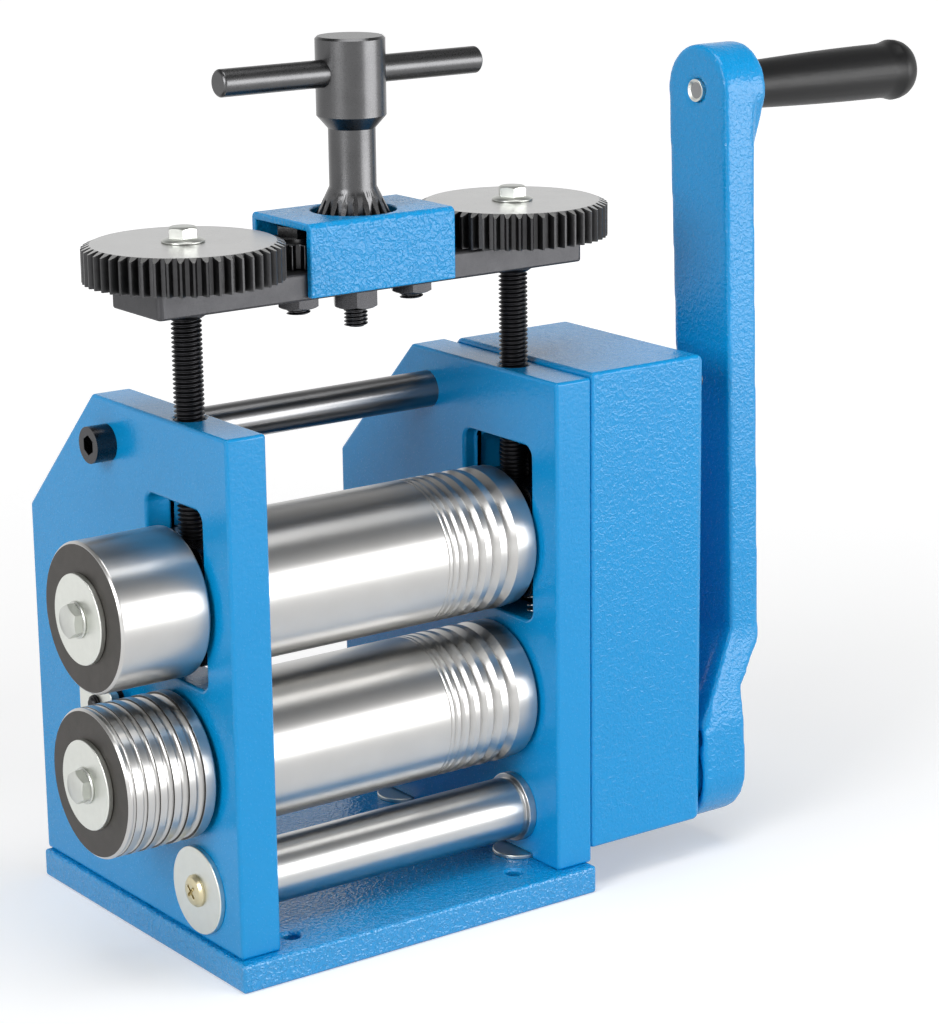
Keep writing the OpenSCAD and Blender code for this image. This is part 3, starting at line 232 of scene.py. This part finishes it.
def ridges(tree, place, size, width):
    """Thin curling ridges about that far apart, along a level line of a noise."""
    level = add(tree, "ShaderNodeMath", {1: 0.5},
                {0: noise(tree, place, size, detail=1.5, roughness=0.55)}, operation="SUBTRACT")
    away = add(tree, "ShaderNodeMath", None, {0: level.outputs[0]}, operation="ABSOLUTE")
    return ramp(tree, away.outputs[0], 0.0, width, 1.0, 0.0, interpolation_type="SMOOTHSTEP")


def bump(tree, height, distance, strength=1.0, normal=None):
    """A bump of that depth, over another one if that is given."""
    links = {"Height": height}
    if normal:
        links["Normal"] = normal
    node = add(tree, "ShaderNodeBump", {"Distance": distance * MM, "Strength": strength}, links)
    return node.outputs["Normal"]


# Materials, each named for the real finish
def blue_enamel(name, dimple, fold, gloss=0.38):
    """Stoved blue enamel: a glossy skin over hammered dimples and fine curling folds.

    The depth of the dimples and of the folds is what the metal below leaves of them.
    """
    material, tree, out, place = new_material(name)
    dimples = cells(tree, place, size=1.5, smoothness=0.8, warp=1.6)
    folds = ridges(tree, place, size=2.4, width=0.10)
    grain = noise(tree, place, size=0.7, detail=1.0)
    cloud = noise(tree, place, size=38.0)
    hammered = bump(tree, dimples, dimple)
    folded = bump(tree, folds, fold, normal=hammered)
    skin = bump(tree, grain, 0.05, strength=0.6, normal=folded)
    shader = add(tree, "ShaderNodeBsdfPrincipled",
                 {"IOR": 1.5, "Specular IOR Level": gloss},
                 {"Base Color": mix(tree, cloud, "#048BCA", "#0791D1"),
                  "Roughness": ramp(tree, grain, 0.3, 0.7, 0.18, 0.28),
                  "Normal": skin})
    tree.links.new(shader.outputs[0], out.inputs["Surface"])
    return material


def metal(name, low, high, rough, patch, grain, grain_depth, squeeze=(1, 1, 1), around=""):
    """A bare or plated metal: two close tones in soft patches, and a fine grain in the gloss.

    Marks of a tool run around the named axis, and stretch the reflections along it.
    """
    material, tree, out, place = new_material(name)
    tone = noise(tree, place, patch, detail=3.0, roughness=0.6)
    lines = noise(tree, place, grain, detail=2.0, roughness=0.6, squeeze=squeeze)
    values = {"Metallic": 1.0}
    if around:
        values.update({"Anisotropic": 0.7, "Anisotropic Rotation": 0.25})
    shader = add(tree, "ShaderNodeBsdfPrincipled", values,
                 {"Base Color": mix(tree, tone, low, high),
                  "Roughness": ramp(tree, lines, 0.3, 0.7, rough[0], rough[1]),
                  "Normal": bump(tree, lines, grain_depth, strength=0.6)})
    if around:
        marks = add(tree, "ShaderNodeTangent", direction_type="RADIAL", axis=around)
        tree.links.new(marks.outputs["Tangent"], shader.inputs["Tangent"])
    tree.links.new(shader.outputs[0], out.inputs["Surface"])
    return material


def ringed_metal(name, low, high, rough, patch, grain, grain_depth):
    """A metal that was ground or turned along X, so that its marks are rings round that axis."""
    return metal(name, low, high, rough, patch, grain, grain_depth, (1.0, 0.02, 0.02), "X")


def moulded_plastic():
    """Injection moulded phenolic grip: deep black, satin, with the faintest mottling."""
    material, tree, out, place = new_material("moulded_black_plastic")
    mottle = noise(tree, place, size=0.8)
    shader = add(tree, "ShaderNodeBsdfPrincipled", {"IOR": 1.5, "Specular IOR Level": 0.30},
                 {"Base Color": mix(tree, mottle, "#0C0C0D", "#141415"),
                  "Roughness": ramp(tree, mottle, 0.3, 0.7, 0.36, 0.44),
                  "Normal": bump(tree, mottle, 0.012, strength=0.5)})
    tree.links.new(shader.outputs[0], out.inputs["Surface"])
    return material


# Enamel, with the depth of its dimples and folds. The frames are ground before they are coated,
# the case and arm are as cast, the cover is bent sheet and the base plate has the thickest coat
GROUND_ENAMEL = blue_enamel("blue_enamel_on_ground_iron", 0.06, 0.004)
CAST_ENAMEL = blue_enamel("blue_enamel_on_cast_iron", 0.11, 0.05)
SHEET_ENAMEL = blue_enamel("blue_enamel_on_sheet", 0.15, 0.10)
PLATE_ENAMEL = blue_enamel("blue_enamel_on_base_plate", 0.22, 0.16, gloss=0.7)

# Metals: two tones, the range of roughness, the size of patches and grain, the depth of the grain
# Ground rollers: fine rings round the axis, drawn wider than the wheel marks so that they show
GROUND_STEEL = ringed_metal("ground_roller_steel", "#BBBAB8", "#C6C5C3", (0.30, 0.34),
                            14.0, 0.22, 0.00015)
# Bright drawn bar, a little duller than the rollers
DRAWN_STEEL = ringed_metal("bright_drawn_steel", "#B9B9B8", "#C6C6C5", (0.31, 0.36),
                           12.0, 0.3, 0.00015)
# The tie rod is a polished rod with a dark bright plate, smooth enough for sharp long streaks
DARK_CHROME = ringed_metal("dark_bright_rod", "#7C7C7D", "#8A8A8B", (0.28, 0.29),
                           12.0, 0.3, 0.00002)
# Unhardened end faces of the side rollers, dark from the turning tool
TURNED_END = metal("dark_turned_steel", "#474543", "#585552", (0.40, 0.54), 5.0, 0.25, 0.006)
# Washers and discs are rack plated: pale grey with a milky gloss
ZINC = metal("bright_zinc_plate", "#D2D4CE", "#DEE0DA", (0.30, 0.42), 3.0, 0.25, 0.004)
# Bolt heads are barrel plated, so they are a little duller than the washers
BOLT_ZINC = metal("barrel_zinc_plate", "#BCBEB9", "#CCCEC9", (0.28, 0.38), 3.0, 0.25, 0.004)
# The yellow passivation gives the bar screw a pale brass tint
YELLOW_ZINC = metal("yellow_zinc_plate", "#C6BB98", "#D6CCAC", (0.28, 0.40), 2.0, 0.25, 0.004)
# Black oxide: a thin conversion coat, so it keeps the metal's gloss in a charcoal tone
BLACK_OXIDE = metal("black_oxide_steel", "#3C3C3E", "#4A4A4C", (0.20, 0.32), 7.0, 0.35, 0.004)
# The T handle is blued and oiled, so it shows long bright streaks
BLUED_STEEL = metal("blued_oiled_steel", "#505051", "#5E5E5F", (0.25, 0.34), 9.0, 0.35, 0.003)
# Threads hold their oil and look darker and duller
BLACK_THREAD = metal("black_oxide_thread", "#262628", "#3A3A3C", (0.34, 0.48), 4.0, 0.3, 0.003)
# The bridge is phosphated: duller and a little lighter
PHOSPHATE = metal("phosphated_steel", "#434345", "#545456", (0.42, 0.56), 6.0, 0.4, 0.010)
# Gears: their tops are faced bright, and their teeth keep the blackening
FACED_STEEL = metal("faced_gear_steel", "#B8B8B7", "#C8C8C7", (0.26, 0.36), 10.0, 0.3, 0.004)
GEAR_FLANK = metal("blackened_gear_teeth", "#3A3A3B", "#4C4C4D", (0.32, 0.44), 2.5, 0.3, 0.006)
# Edges of the teeth, where the blackening has worn to bright steel
WORN_EDGE = metal("worn_tooth_edge", "#6E6E70", "#8C8C8E", (0.26, 0.38), 2.0, 0.3, 0.002)
# What runs inside the case is grey under a film of oil. In the grip spindle's dished end the same
# darker grey is painted shade in the recess
OILED_STEEL_AND_RECESS_SHADE = metal("oiled_steel_and_painted_recess_shade", "#7E7F80", "#929394", (0.28, 0.40), 8.0, 0.3, 0.003)
# Sintered bushes: a dull brown gold with open pores
BRONZE = metal("sintered_bronze", "#94764A", "#AB8B5B", (0.40, 0.52), 1.2, 0.25, 0.010)
# Drawn wire keeps its sheen under a thin plate
SPRING_STEEL = metal("plated_spring_wire", "#B9BBBD", "#CDCFD0", (0.24, 0.34), 2.0, 0.2, 0.003)
GRIP_PLASTIC = moulded_plastic()

# CAD nodes whose shape is right, and the finish that they take
FINISHES = {
    "top_tie_rod": DARK_CHROME,
    "lower_roller": GROUND_STEEL,
    "upper_roller": GROUND_STEEL,
    "left_bush": BRONZE,
    "right_bush": BRONZE,
    "lower_long_gear": OILED_STEEL_AND_RECESS_SHADE,
    "upper_long_gear": OILED_STEEL_AND_RECESS_SHADE,
    "reduction_gear": OILED_STEEL_AND_RECESS_SHADE,
    "reduction_idler": OILED_STEEL_AND_RECESS_SHADE,
    "idler_post": OILED_STEEL_AND_RECESS_SHADE,
    "crank_shaft": OILED_STEEL_AND_RECESS_SHADE,
}


# Places
def drawn(x, y, z):
    """A place of the CAD drawing, in the frame's metres."""
    return Vector(((x - MIDDLE_X) * MM, (y - MIDDLE_Y) * MM, (z + BASE_THICKNESS) * MM))


def on_arm(x, across, up):
    """A place on the leaning crank arm, from its shaft's axis, in the frame's metres."""
    return drawn(x, CRANK_Y + across * math.cos(ARM_LEAN) + up * math.sin(ARM_LEAN),
                 CRANK_Z + up * math.cos(ARM_LEAN) - across * math.sin(ARM_LEAN))


def upright(x, y, z=0.0):
    """Places a turned part at a point of the CAD drawing, its axis upwards."""
    return Matrix.Translation(drawn(x, y, z))


def sideways(x, y, z):
    """Places a turned part at a point of the CAD drawing, its axis pointing to the left."""
    return Matrix.Translation(drawn(x, y, z)) @ Matrix.Rotation(math.radians(-90), 4, "Y")


# Mesh helpers
def object_from(bm, name, materials, smooth_angle=32.0):
    """A finished bmesh as an object at the origin, smooth below that angle."""
    mesh = bpy.data.meshes.new(name)
    bm.to_mesh(mesh)
    bm.free()
    for material in materials:
        mesh.materials.append(material)
    mesh.shade_smooth()
    mesh.set_sharp_from_angle(angle=math.radians(smooth_angle))
    piece = bpy.data.objects.new(name, mesh)
    bpy.context.scene.collection.objects.link(piece)
    return piece


def merged_copy(node):
    """A bmesh copy of a CAD node with its loose triangles merged and flat faces joined."""
    bm = bmesh.new()
    bm.from_mesh(NODES[node].data)
    bmesh.ops.remove_doubles(bm, verts=bm.verts, dist=0.002 * MM)
    bmesh.ops.dissolve_limit(bm, angle_limit=math.radians(0.6), verts=bm.verts, edges=bm.edges,
                             use_dissolve_boundaries=False)
    return bm


def stands_for(piece, node):
    """Lets a dressed piece stand for its CAD node and move with it."""
    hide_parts(node)
    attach(piece, BODY_OF[node])


def mark_sharp(bm, angle, wedge=40.0):
    """Weights the sharp edges for the bevel, but not two that leave a point in a thin wedge."""
    weight = bm.edges.layers.float.new("bevel_weight_edge")
    sharp = {edge for edge in bm.edges
             if edge.is_manifold and edge.calc_face_angle() > math.radians(angle)}
    for edge in sharp:
        edge[weight] = 1.0
    for vert in bm.verts:
        meeting = [edge for edge in vert.link_edges if edge in sharp]
        for first, second in itertools.combinations(meeting, 2):
            ways = [edge.other_vert(vert).co - vert.co for edge in (first, second)]
            if ways[0].angle(ways[1]) < math.radians(wedge):
                first[weight] = second[weight] = 0.0


def eased(node, materials, width, segments=2, pick=None, angle=28.0, edge_material=-1,
          shape=None, clamp=True):
    """The CAD node with the edges sharper than that angle broken by a bevel of that width.

    shape changes the form first, pick gives each face its material, and edge_material is the
    one of the bevel, or -1 for that of the faces beside it.
    """
    bm = merged_copy(node)
    if shape:
        shape(bm)
    if pick:
        for face in bm.faces:
            face.material_index = pick(face)
    mark_sharp(bm, angle)
    piece = object_from(bm, node + "_eased", materials)
    bevel = piece.modifiers.new("edge_break", "BEVEL")
    bevel.width = width * MM
    bevel.segments = segments
    bevel.limit_method = "WEIGHT"
    bevel.use_clamp_overlap = clamp
    bevel.loop_slide = clamp
    bevel.material = edge_material
    weighted = piece.modifiers.new("flat_faces_stay_flat", "WEIGHTED_NORMAL")
    weighted.keep_sharp = True
    weighted.weight = 100
    stands_for(piece, node)


def turned(outline, steps=64):
    """A solid turned about Z from an outline of radius and height."""
    bm = bmesh.new()
    line = [bm.verts.new((r * MM, 0, z * MM)) for r, z in outline]
    edges = [bm.edges.new(pair) for pair in zip(line, line[1:])]
    bmesh.ops.spin(bm, geom=line + edges, cent=(0, 0, 0), axis=(0, 0, 1), angle=2 * math.pi,
                   steps=steps, use_merge=True)
    bmesh.ops.remove_doubles(bm, verts=bm.verts, dist=0.0005 * MM)
    bmesh.ops.recalc_face_normals(bm, faces=bm.faces)
    return bm


def cut(bm, place, outward):
    """Takes off what lies beyond a plane and closes the cut."""
    bmesh.ops.bisect_plane(bm, geom=bm.verts[:] + bm.edges[:] + bm.faces[:], dist=1e-7,
                           plane_co=place, plane_no=outward, clear_outer=True)
    rim = [edge for edge in bm.edges if edge.is_boundary]
    bmesh.ops.holes_fill(bm, edges=rim, sides=0)


def top_of(node, low_z):
    """The part of a CAD node above that height of the drawing."""
    bm = merged_copy(node)
    cut(bm, drawn(0, 0, low_z), Vector((0, 0, -1)))
    return bm


def hexagon(flats, low, high, both_ends=False):
    """A hexagon bar with the 30 degree turned chamfer of a bolt head, or of a nut on both ends."""
    corner = flats / math.sqrt(3)
    flat_r = 0.47 * flats
    drop = (corner - flat_r) * math.tan(math.radians(30))
    foot = [(0, low), (corner, low)]
    if both_ends:
        foot = [(0, low), (flat_r, low), (corner, low + drop)]
    bm = turned(foot + [(corner, high - drop), (flat_r, high), (0, high)], steps=72)
    for side in range(6):
        way = math.radians(60 * side + 30)
        outward = Vector((math.cos(way), math.sin(way), 0))
        cut(bm, outward * flats / 2 * MM, outward)
    return bm


def thread(size, low, high, steps=36):
    """A right-hand metric thread from low to high, of that outer diameter and pitch."""
    outer_d, pitch = size
    crest = outer_d / 2
    root = crest - 0.61 * pitch
    count = math.ceil((high - low) / pitch) + 3
    bm = bmesh.new()
    line = []
    # In shares of a pitch: root flat, rising flank, crest flat, falling flank
    for turn in range(count):
        base = low + (turn - 2) * pitch
        line += [(root, base), (root, base + 0.14 * pitch), (crest, base + 0.48 * pitch),
                 (crest, base + 0.62 * pitch)]
    line.append((root, low + (count - 2) * pitch))
    verts = [bm.verts.new((r * MM, 0, z * MM)) for r, z in line]
    edges = [bm.edges.new(pair) for pair in zip(verts, verts[1:])]
    bmesh.ops.spin(bm, geom=verts + edges, cent=(0, 0, 0), axis=(0, 0, 1), angle=2 * math.pi,
                   steps=steps, dvec=(0, 0, pitch * MM / steps))
    bmesh.ops.remove_doubles(bm, verts=bm.verts, dist=0.0005 * MM)
    bmesh.ops.recalc_face_normals(bm, faces=bm.faces)
    cut(bm, Vector((0, 0, low * MM)), Vector((0, 0, -1)))
    cut(bm, Vector((0, 0, high * MM)), Vector((0, 0, 1)))
    return bm


def threaded(bm, node, materials):
    """Finishes a piece with cut threads, which stands for its CAD node."""
    stands_for(object_from(bm, node + "_threaded", materials, THREAD_SMOOTH), node)


def joined(parts):
    """Several meshes as one, each moved by its matrix and given its material index."""
    whole = bmesh.new()
    for part, matrix, index in parts:
        for face in part.faces:
            face.material_index = index
        mesh = bpy.data.meshes.new("part")
        part.transform(matrix)
        part.to_mesh(mesh)
        part.free()
        whole.from_mesh(mesh)
        bpy.data.meshes.remove(mesh)
    return whole


# Which of a piece's materials a face takes
def is_side(face):
    """0 for a top face, 1 for the rest."""
    return 0 if face.normal.z > 0.9 else 1


def is_end(face):
    """1 for the faces across the rollers' axis, 0 for the rest."""
    return 1 if abs(face.normal.x) > 0.9 else 0


def is_outside(face):
    """1 for the faces that stand out of the gear case's side, 0 for the rest."""
    just_past = drawn(CASE_SIDE_X + 0.1, 0, 0).x
    return 1 if face.calc_center_median().x > just_past else 0


# Small changes of form
def flattened(bm):
    """Lowers the pan head of the bar screw to the flat crown of a real one."""
    head_height = 3.4
    share_left = 0.66
    seat = min(vert.co.x for vert in bm.verts) + head_height * MM
    for vert in bm.verts:
        if vert.co.x < seat:
            vert.co.x = seat + (vert.co.x - seat) * share_left


def dished_with_painted_shade(bm):
    """Sinks the middle of the end that faces left, as a riveting tool leaves it, and gives the
    sunk middle the darker second material as painted shade in the recess.
    """
    rim = 1.2
    depth = 0.8
    end = min(bm.faces, key=lambda face: face.calc_center_median().x)
    bmesh.ops.inset_region(bm, faces=[end], thickness=rim * MM, depth=-depth * MM)
    # The sunk middle takes the darker second material: painted shade in the recess
    end.material_index = 1


# Castings and plates
def dress_castings():
    """Rounds the edges of the castings, the plates and the sliding blocks."""
    # The outer flange of the crank bush is coated with the case
    eased("crank_bush", [BRONZE, CAST_ENAMEL], 0.3, pick=is_outside)
    for node in ("left_frame", "right_frame"):
        eased(node, [GROUND_ENAMEL], 1.1, 3, clamp=False)
    eased("gear_case", [CAST_ENAMEL], 1.3, 3, clamp=False)
    eased("base_plate", [PLATE_ENAMEL], 1.1, 3, clamp=False)
    eased("pinion_cover", [SHEET_ENAMEL], 0.5, 3, clamp=False)
    eased("bridge_plate", [PHOSPHATE], 0.8, 3, clamp=False)
    for node in ("left_block", "right_block"):
        eased(node, [BLACK_OXIDE], 0.6, 3)


def arm_filler(points):
    """A convex solid round some places on the crank arm, as a part to join."""
    bm = bmesh.new()
    for x, across, up in points:
        bm.verts.new(on_arm(x, across, up))
    bmesh.ops.convex_hull(bm, input=bm.verts)
    return bm, STAY, 0


def arm_flanks(*sections):
    """Convex solids in front and at the back of the arm, round the corners of some sections.

    A section is its two ends in X, its inner and outer distance from the middle, and its height.
    """
    return [arm_filler([(x, side * across, up) for ends, halves, up in sections
                        for x in ends for across in halves]) for side in (-1, 1)]


def cast_crank_arm():
    """The crank arm as it was cast: its hub, steps and boss run into each other in fillets."""
    hub_top_half = HUB_R - 0.4
    boss_foot_half = BOSS_R - 0.1
    sections = [(HUB_X, (CORE_HALF, HUB_R), 0),
                (HUB_X, (CORE_HALF, hub_top_half), 18),
                ((202.0, HUB_X[1]), (CORE_HALF, 17.0), 30),
                ((211.0, ARM_X[1]), (CORE_HALF, 14.6), 47),
                (ARM_X, (CORE_HALF, ARM_HALF), 52),
                (ARM_X, (CORE_HALF, boss_foot_half), GRIP_UP - 6),
                (ARM_X, (CORE_HALF, BOSS_R), GRIP_UP)]
    parts = [(merged_copy("crank_arm"), STAY, 0)]
    for lower, upper in zip(sections, sections[1:]):
        parts += arm_flanks(lower, upper)

    # The foot: cheeks and a skirt round the flange of the crank bush, and the web to the arm
    cheek_x = (FOOT_X, 204.0)
    parts += arm_flanks((cheek_x, (FOOT_BORE_R, HUB_R), 0),
                        (cheek_x, (FOOT_BORE_R, hub_top_half), 18))
    skirt = turned([(FOOT_BORE_R, 0), (HUB_R, 0), (HUB_R, -5), (FOOT_BORE_R, -5),
                    (FOOT_BORE_R, 0)])
    parts.append((skirt, sideways(FOOT_X, CRANK_Y, CRANK_Z), 0))
    web = [(FOOT_X, 17.3), (FOOT_X, 19), (202.0, 30), (204.5, 30), (204.5, 17.3)]
    parts.append(arm_filler([(x, across, up) for x, up in web for across in (-17, 17)]))

    # The shoulder under the boss
    face_x = ARM_X[1] - 1
    shoulder = [(face_x, 14, GRIP_UP - 8), (face_x, 13, GRIP_UP - 28),
                (BOSS_X, 13.5, GRIP_UP - 8), (BOSS_X, 8, GRIP_UP - 14)]
    parts.append(arm_filler([(x, side * across, up) for x, across, up in shoulder
                             for side in (-1, 1)]))

    crank = object_from(joined(parts), "crank_arm_cast", [CAST_ENAMEL])
    fused = crank.modifiers.new("fuse", "REMESH")
    fused.mode = "VOXEL"
    fused.voxel_size = 0.9 * MM
    fused.use_smooth_shade = True
    fillet = crank.modifiers.new("cast_fillets", "SMOOTH")
    fillet.factor = 0.5
    fillet.iterations = 16
    stands_for(crank, "crank_arm")


# Machined parts
def dress_machined_parts():
    """Breaks the edges of gears, handles, side rollers, screws and washers."""
    # Gears are faced on top and blackened on the teeth, with the edges worn bright
    for node in ("left_lift_gear", "right_lift_gear"):
        eased(node, [FACED_STEEL, GEAR_FLANK, WORN_EDGE], 0.16, pick=is_side, angle=20.0,
              edge_material=2)
    for node in ("left_idler", "right_idler"):
        eased(node, [GEAR_FLANK, WORN_EDGE], 0.14, angle=20.0, edge_material=1)
    for node in ("t_handle", "t_bar"):
        eased(node, [BLUED_STEEL], 0.3)
    for node in ("lower_side_roller", "upper_side_roller"):
        eased(node, [GROUND_STEEL, TURNED_END], 0.2, pick=is_end)
    for node in ("tie_screw_left", "tie_screw_right",
                 "case_screw_top", "case_screw_back", "case_screw_low"):
        eased(node, [BLACK_OXIDE], 0.4, 3)
    for node in ("lower_washer", "upper_washer", "bar_washer", "keeper_plate", "foot_left_front",
                 "foot_left_back", "foot_right_front", "foot_right_back"):
        eased(node, [ZINC], 0.35, 3)
    eased("bar_screw", [YELLOW_ZINC], 0.25, shape=flattened)
    eased("grip", [GRIP_PLASTIC], 0.5, 3, angle=40.0)
    # The spindle's darker second material is painted shade in its dished end
    eased("grip_spindle", [ZINC, OILED_STEEL_AND_RECESS_SHADE], 0.3, 3, shape=dished_with_painted_shade)
    eased("bottom_bar", [DRAWN_STEEL], 0.3)


def cut_lift_screws():
    """Lift screws: threaded below the cones under their collars."""
    cone = [(0, COLLAR_Z - 0.6), (5.2, COLLAR_Z - 0.6), (7.0, COLLAR_Z + 0.7),
            (7.0, COLLAR_Z + 1.2), (0, COLLAR_Z + 1.2)]
    for side, x in SCREW_X.items():
        node = side + "_screw"
        axis = upright(x, ROLL_Y)
        screw = joined([(top_of(node, COLLAR_Z + 0.6), STAY, 0), (turned(cone), axis, 0),
                        (thread(M10, SCREW_FOOT_Z, COLLAR_Z - 0.4), axis, 0)])
        threaded(screw, node, [BLACK_THREAD])


def head_bolt(node, place, flange, head, shank_r, tip_r):
    """A bolt with its flange, its hexagon head and a shank of 20 mm with a small chamfer."""
    shank = [(0, -20), (tip_r, -20), (shank_r, -19.5), (shank_r, 0.5), (0, 0.5)]
    bolt = joined([(turned(flange), place, 0), (head, place, 0), (turned(shank), place, 0)])
    stands_for(object_from(bolt, node + "_headed", [BOLT_ZINC]), node)


def head_all_bolts():
    """Bolts of the large gears, with flanges, and of the side rollers, with thin pressed rims."""
    flange = [(0, 0), (6.7, 0), (7.0, 0.25), (7.0, 0.6), (6.6, 0.9), (4.9, 1.5), (0, 1.5)]
    for side, x in SCREW_X.items():
        head_bolt(side + "_gear_bolt", upright(x, ROLL_Y, GEAR_TOP_Z), flange,
                  hexagon(8.7, 1.2, 4.9), 2.5, 2.1)
    rim = [(0, 0), (5.9, 0), (6.1, 0.2), (6.1, 0.5), (5.8, 0.8), (0, 0.8)]
    for level, z in (("lower", LOWER_ROLL_Z), ("upper", UPPER_ROLL_Z)):
        head_bolt(level + "_bolt", sideways(SIDE_WASHER_X, ROLL_Y, z), rim,
                  hexagon(10.0, 0.3, 4.0), 3.0, 2.5)


def cut_studs():
    """Studs of the lift train with chamfered nuts and threads below the bridge."""
    foot_z = BRIDGE_FOOT_Z
    for side, x in STUD_X.items():
        node = "idler_stud_" + side
        axis = upright(x, ROLL_Y)
        stud = joined([(top_of(node, foot_z + 1), STAY, 0),
                       (hexagon(13.0, foot_z - 5, foot_z, both_ends=True), axis, 1),
                       (thread(M8, foot_z - 7, foot_z - 1), axis, 1)])
        threaded(stud, node, [BLUED_STEEL, BLACK_OXIDE])
    axis = upright(HANDLE_X, ROLL_Y)
    tip = [(0, foot_z - 14), (2.7, foot_z - 14), (3.4, foot_z - 13.3), (0, foot_z - 13.3)]
    stud = joined([(top_of("handle_stud", foot_z + 1), STAY, 0),
                   (hexagon(14.0, foot_z - 7.5, foot_z, both_ends=True), axis, 0),
                   (thread(M8, foot_z - 13.6, foot_z - 1), axis, 0),
                   (turned(tip), axis, 0)])
    threaded(stud, "handle_stud", [BLACK_OXIDE])


def cut_keeper_stud():
    """The keeper's stud with its thread and a chamfered tip."""
    axis = sideways(0, KEEPER_Y, KEEPER_Z)
    tip = [(0, 10), (2.3, 10), (2.3, 10.5), (1.8, 11), (0, 11)]
    stud = joined([(thread(M6, -10, 10.4), axis, 0), (turned(tip), axis, 0)])
    threaded(stud, "keeper_stud", [BLACK_THREAD])


def coil_springs():
    """The four lifting springs, in the length that the blocks leave them."""
    for corner in ("left_front", "left_back", "right_front", "right_back"):
        node = "spring_" + corner
        coil = object_from(merged_copy(node), node + "_coil", [SPRING_STEEL], smooth_angle=60.0)
        stands_for(coil, node)
        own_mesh(coil)


def finish_plain_nodes():
    """Gives the CAD nodes that stay their finish."""
    for node, finish in FINISHES.items():
        NODES[node].data.materials.clear()
        NODES[node].data.materials.append(finish)


# Floor, backdrop colour and lights, in metres and watts
def seen_directly(tree):
    """1 for camera, glossy and transmission rays, and 0 for the rays that light surfaces."""
    ray = add(tree, "ShaderNodeLightPath").outputs
    shiny = add(tree, "ShaderNodeMath", None,
                {0: ray["Is Glossy Ray"], 1: ray["Is Transmission Ray"]}, operation="MAXIMUM")
    seen = add(tree, "ShaderNodeMath", None, {0: ray["Is Camera Ray"], 1: shiny.outputs[0]},
               operation="MAXIMUM")
    return seen.outputs[0]


def make_stage():
    """A pale floor that reads as white where it is lit and keeps the shadow."""
    bm = bmesh.new()
    bmesh.ops.create_grid(bm, x_segments=1, y_segments=1, size=4.0)
    material, tree, out, place = new_material("pale_floor")
    away = add(tree, "ShaderNodeVectorMath", None, {0: place}, operation="LENGTH")
    # The far floor gets less light from the lamps, so more of its white is its own
    own_light = ramp(tree, away.outputs["Value"], 0.25, 1.3, 0.34, 0.84)
    glow = add(tree, "ShaderNodeMath", None, {0: seen_directly(tree), 1: own_light},
               operation="MULTIPLY")
    shader = add(tree, "ShaderNodeBsdfPrincipled",
                 {"Base Color": colour("#DDDDDD"), "Roughness": 0.9,
                  "Emission Color": (1, 1, 1, 1)},
                 {"Emission Strength": glow.outputs[0]})
    tree.links.new(shader.outputs[0], out.inputs["Surface"])
    floor = object_from(bm, "floor", [material])
    floor.data.transform(Matrix.Translation((0, 0, CAD_BOX[0].z)))


def make_world():
    """White near the horizon and darker above where it is seen, a plain soft level as light."""
    world = bpy.data.worlds.new("studio")
    bpy.context.scene.world = world
    world.use_nodes = True
    tree = world.node_tree
    tree.nodes.clear()
    way = add(tree, "ShaderNodeTexCoord").outputs["Generated"]
    height = add(tree, "ShaderNodeSeparateXYZ", None, {"Vector": way}).outputs["Z"]
    level = add(tree, "ShaderNodeMix", data_type="FLOAT")
    level.inputs[2].default_value = 0.19
    tree.links.new(seen_directly(tree), level.inputs[0])
    tree.links.new(ramp(tree, height, 0.3, 0.75, 1.0, 0.14), level.inputs[3])
    back = add(tree, "ShaderNodeBackground", {"Color": (1, 1, 1, 1)},
               {"Strength": level.outputs[0]})
    add(tree, "ShaderNodeOutputWorld", None, {"Surface": back.outputs[0]})


def make_softbox(name, place, target, size, watts):
    """A rectangular softbox that looks at a point."""
    data = bpy.data.lights.new(name, "AREA")
    data.shape = "RECTANGLE"
    data.size, data.size_y = size
    data.energy = watts
    light = bpy.data.objects.new(name, data)
    light.location = place
    light.rotation_mode = "QUATERNION"
    light.rotation_quaternion = (Vector(target) - Vector(place)).to_track_quat("-Z", "Y")
    bpy.context.scene.collection.objects.link(light)


dress_castings()
cast_crank_arm()
dress_machined_parts()
cut_lift_screws()
head_all_bolts()
cut_studs()
cut_keeper_stud()
coil_springs()
finish_plain_nodes()
make_stage()
make_world()
make_softbox("key_front_right", (0.9, -1.3, 0.27), (0, 0, 0.12), (1.3, 0.9), 21)
make_softbox("top_soft", (0.0, -0.2, 1.6), (0, 0, 0.1), (1.2, 0.8), 12)
make_softbox("left_soft", (-1.5, -0.5, 0.75), (0, 0, 0.12), (0.7, 0.9), 16)
make_camera()
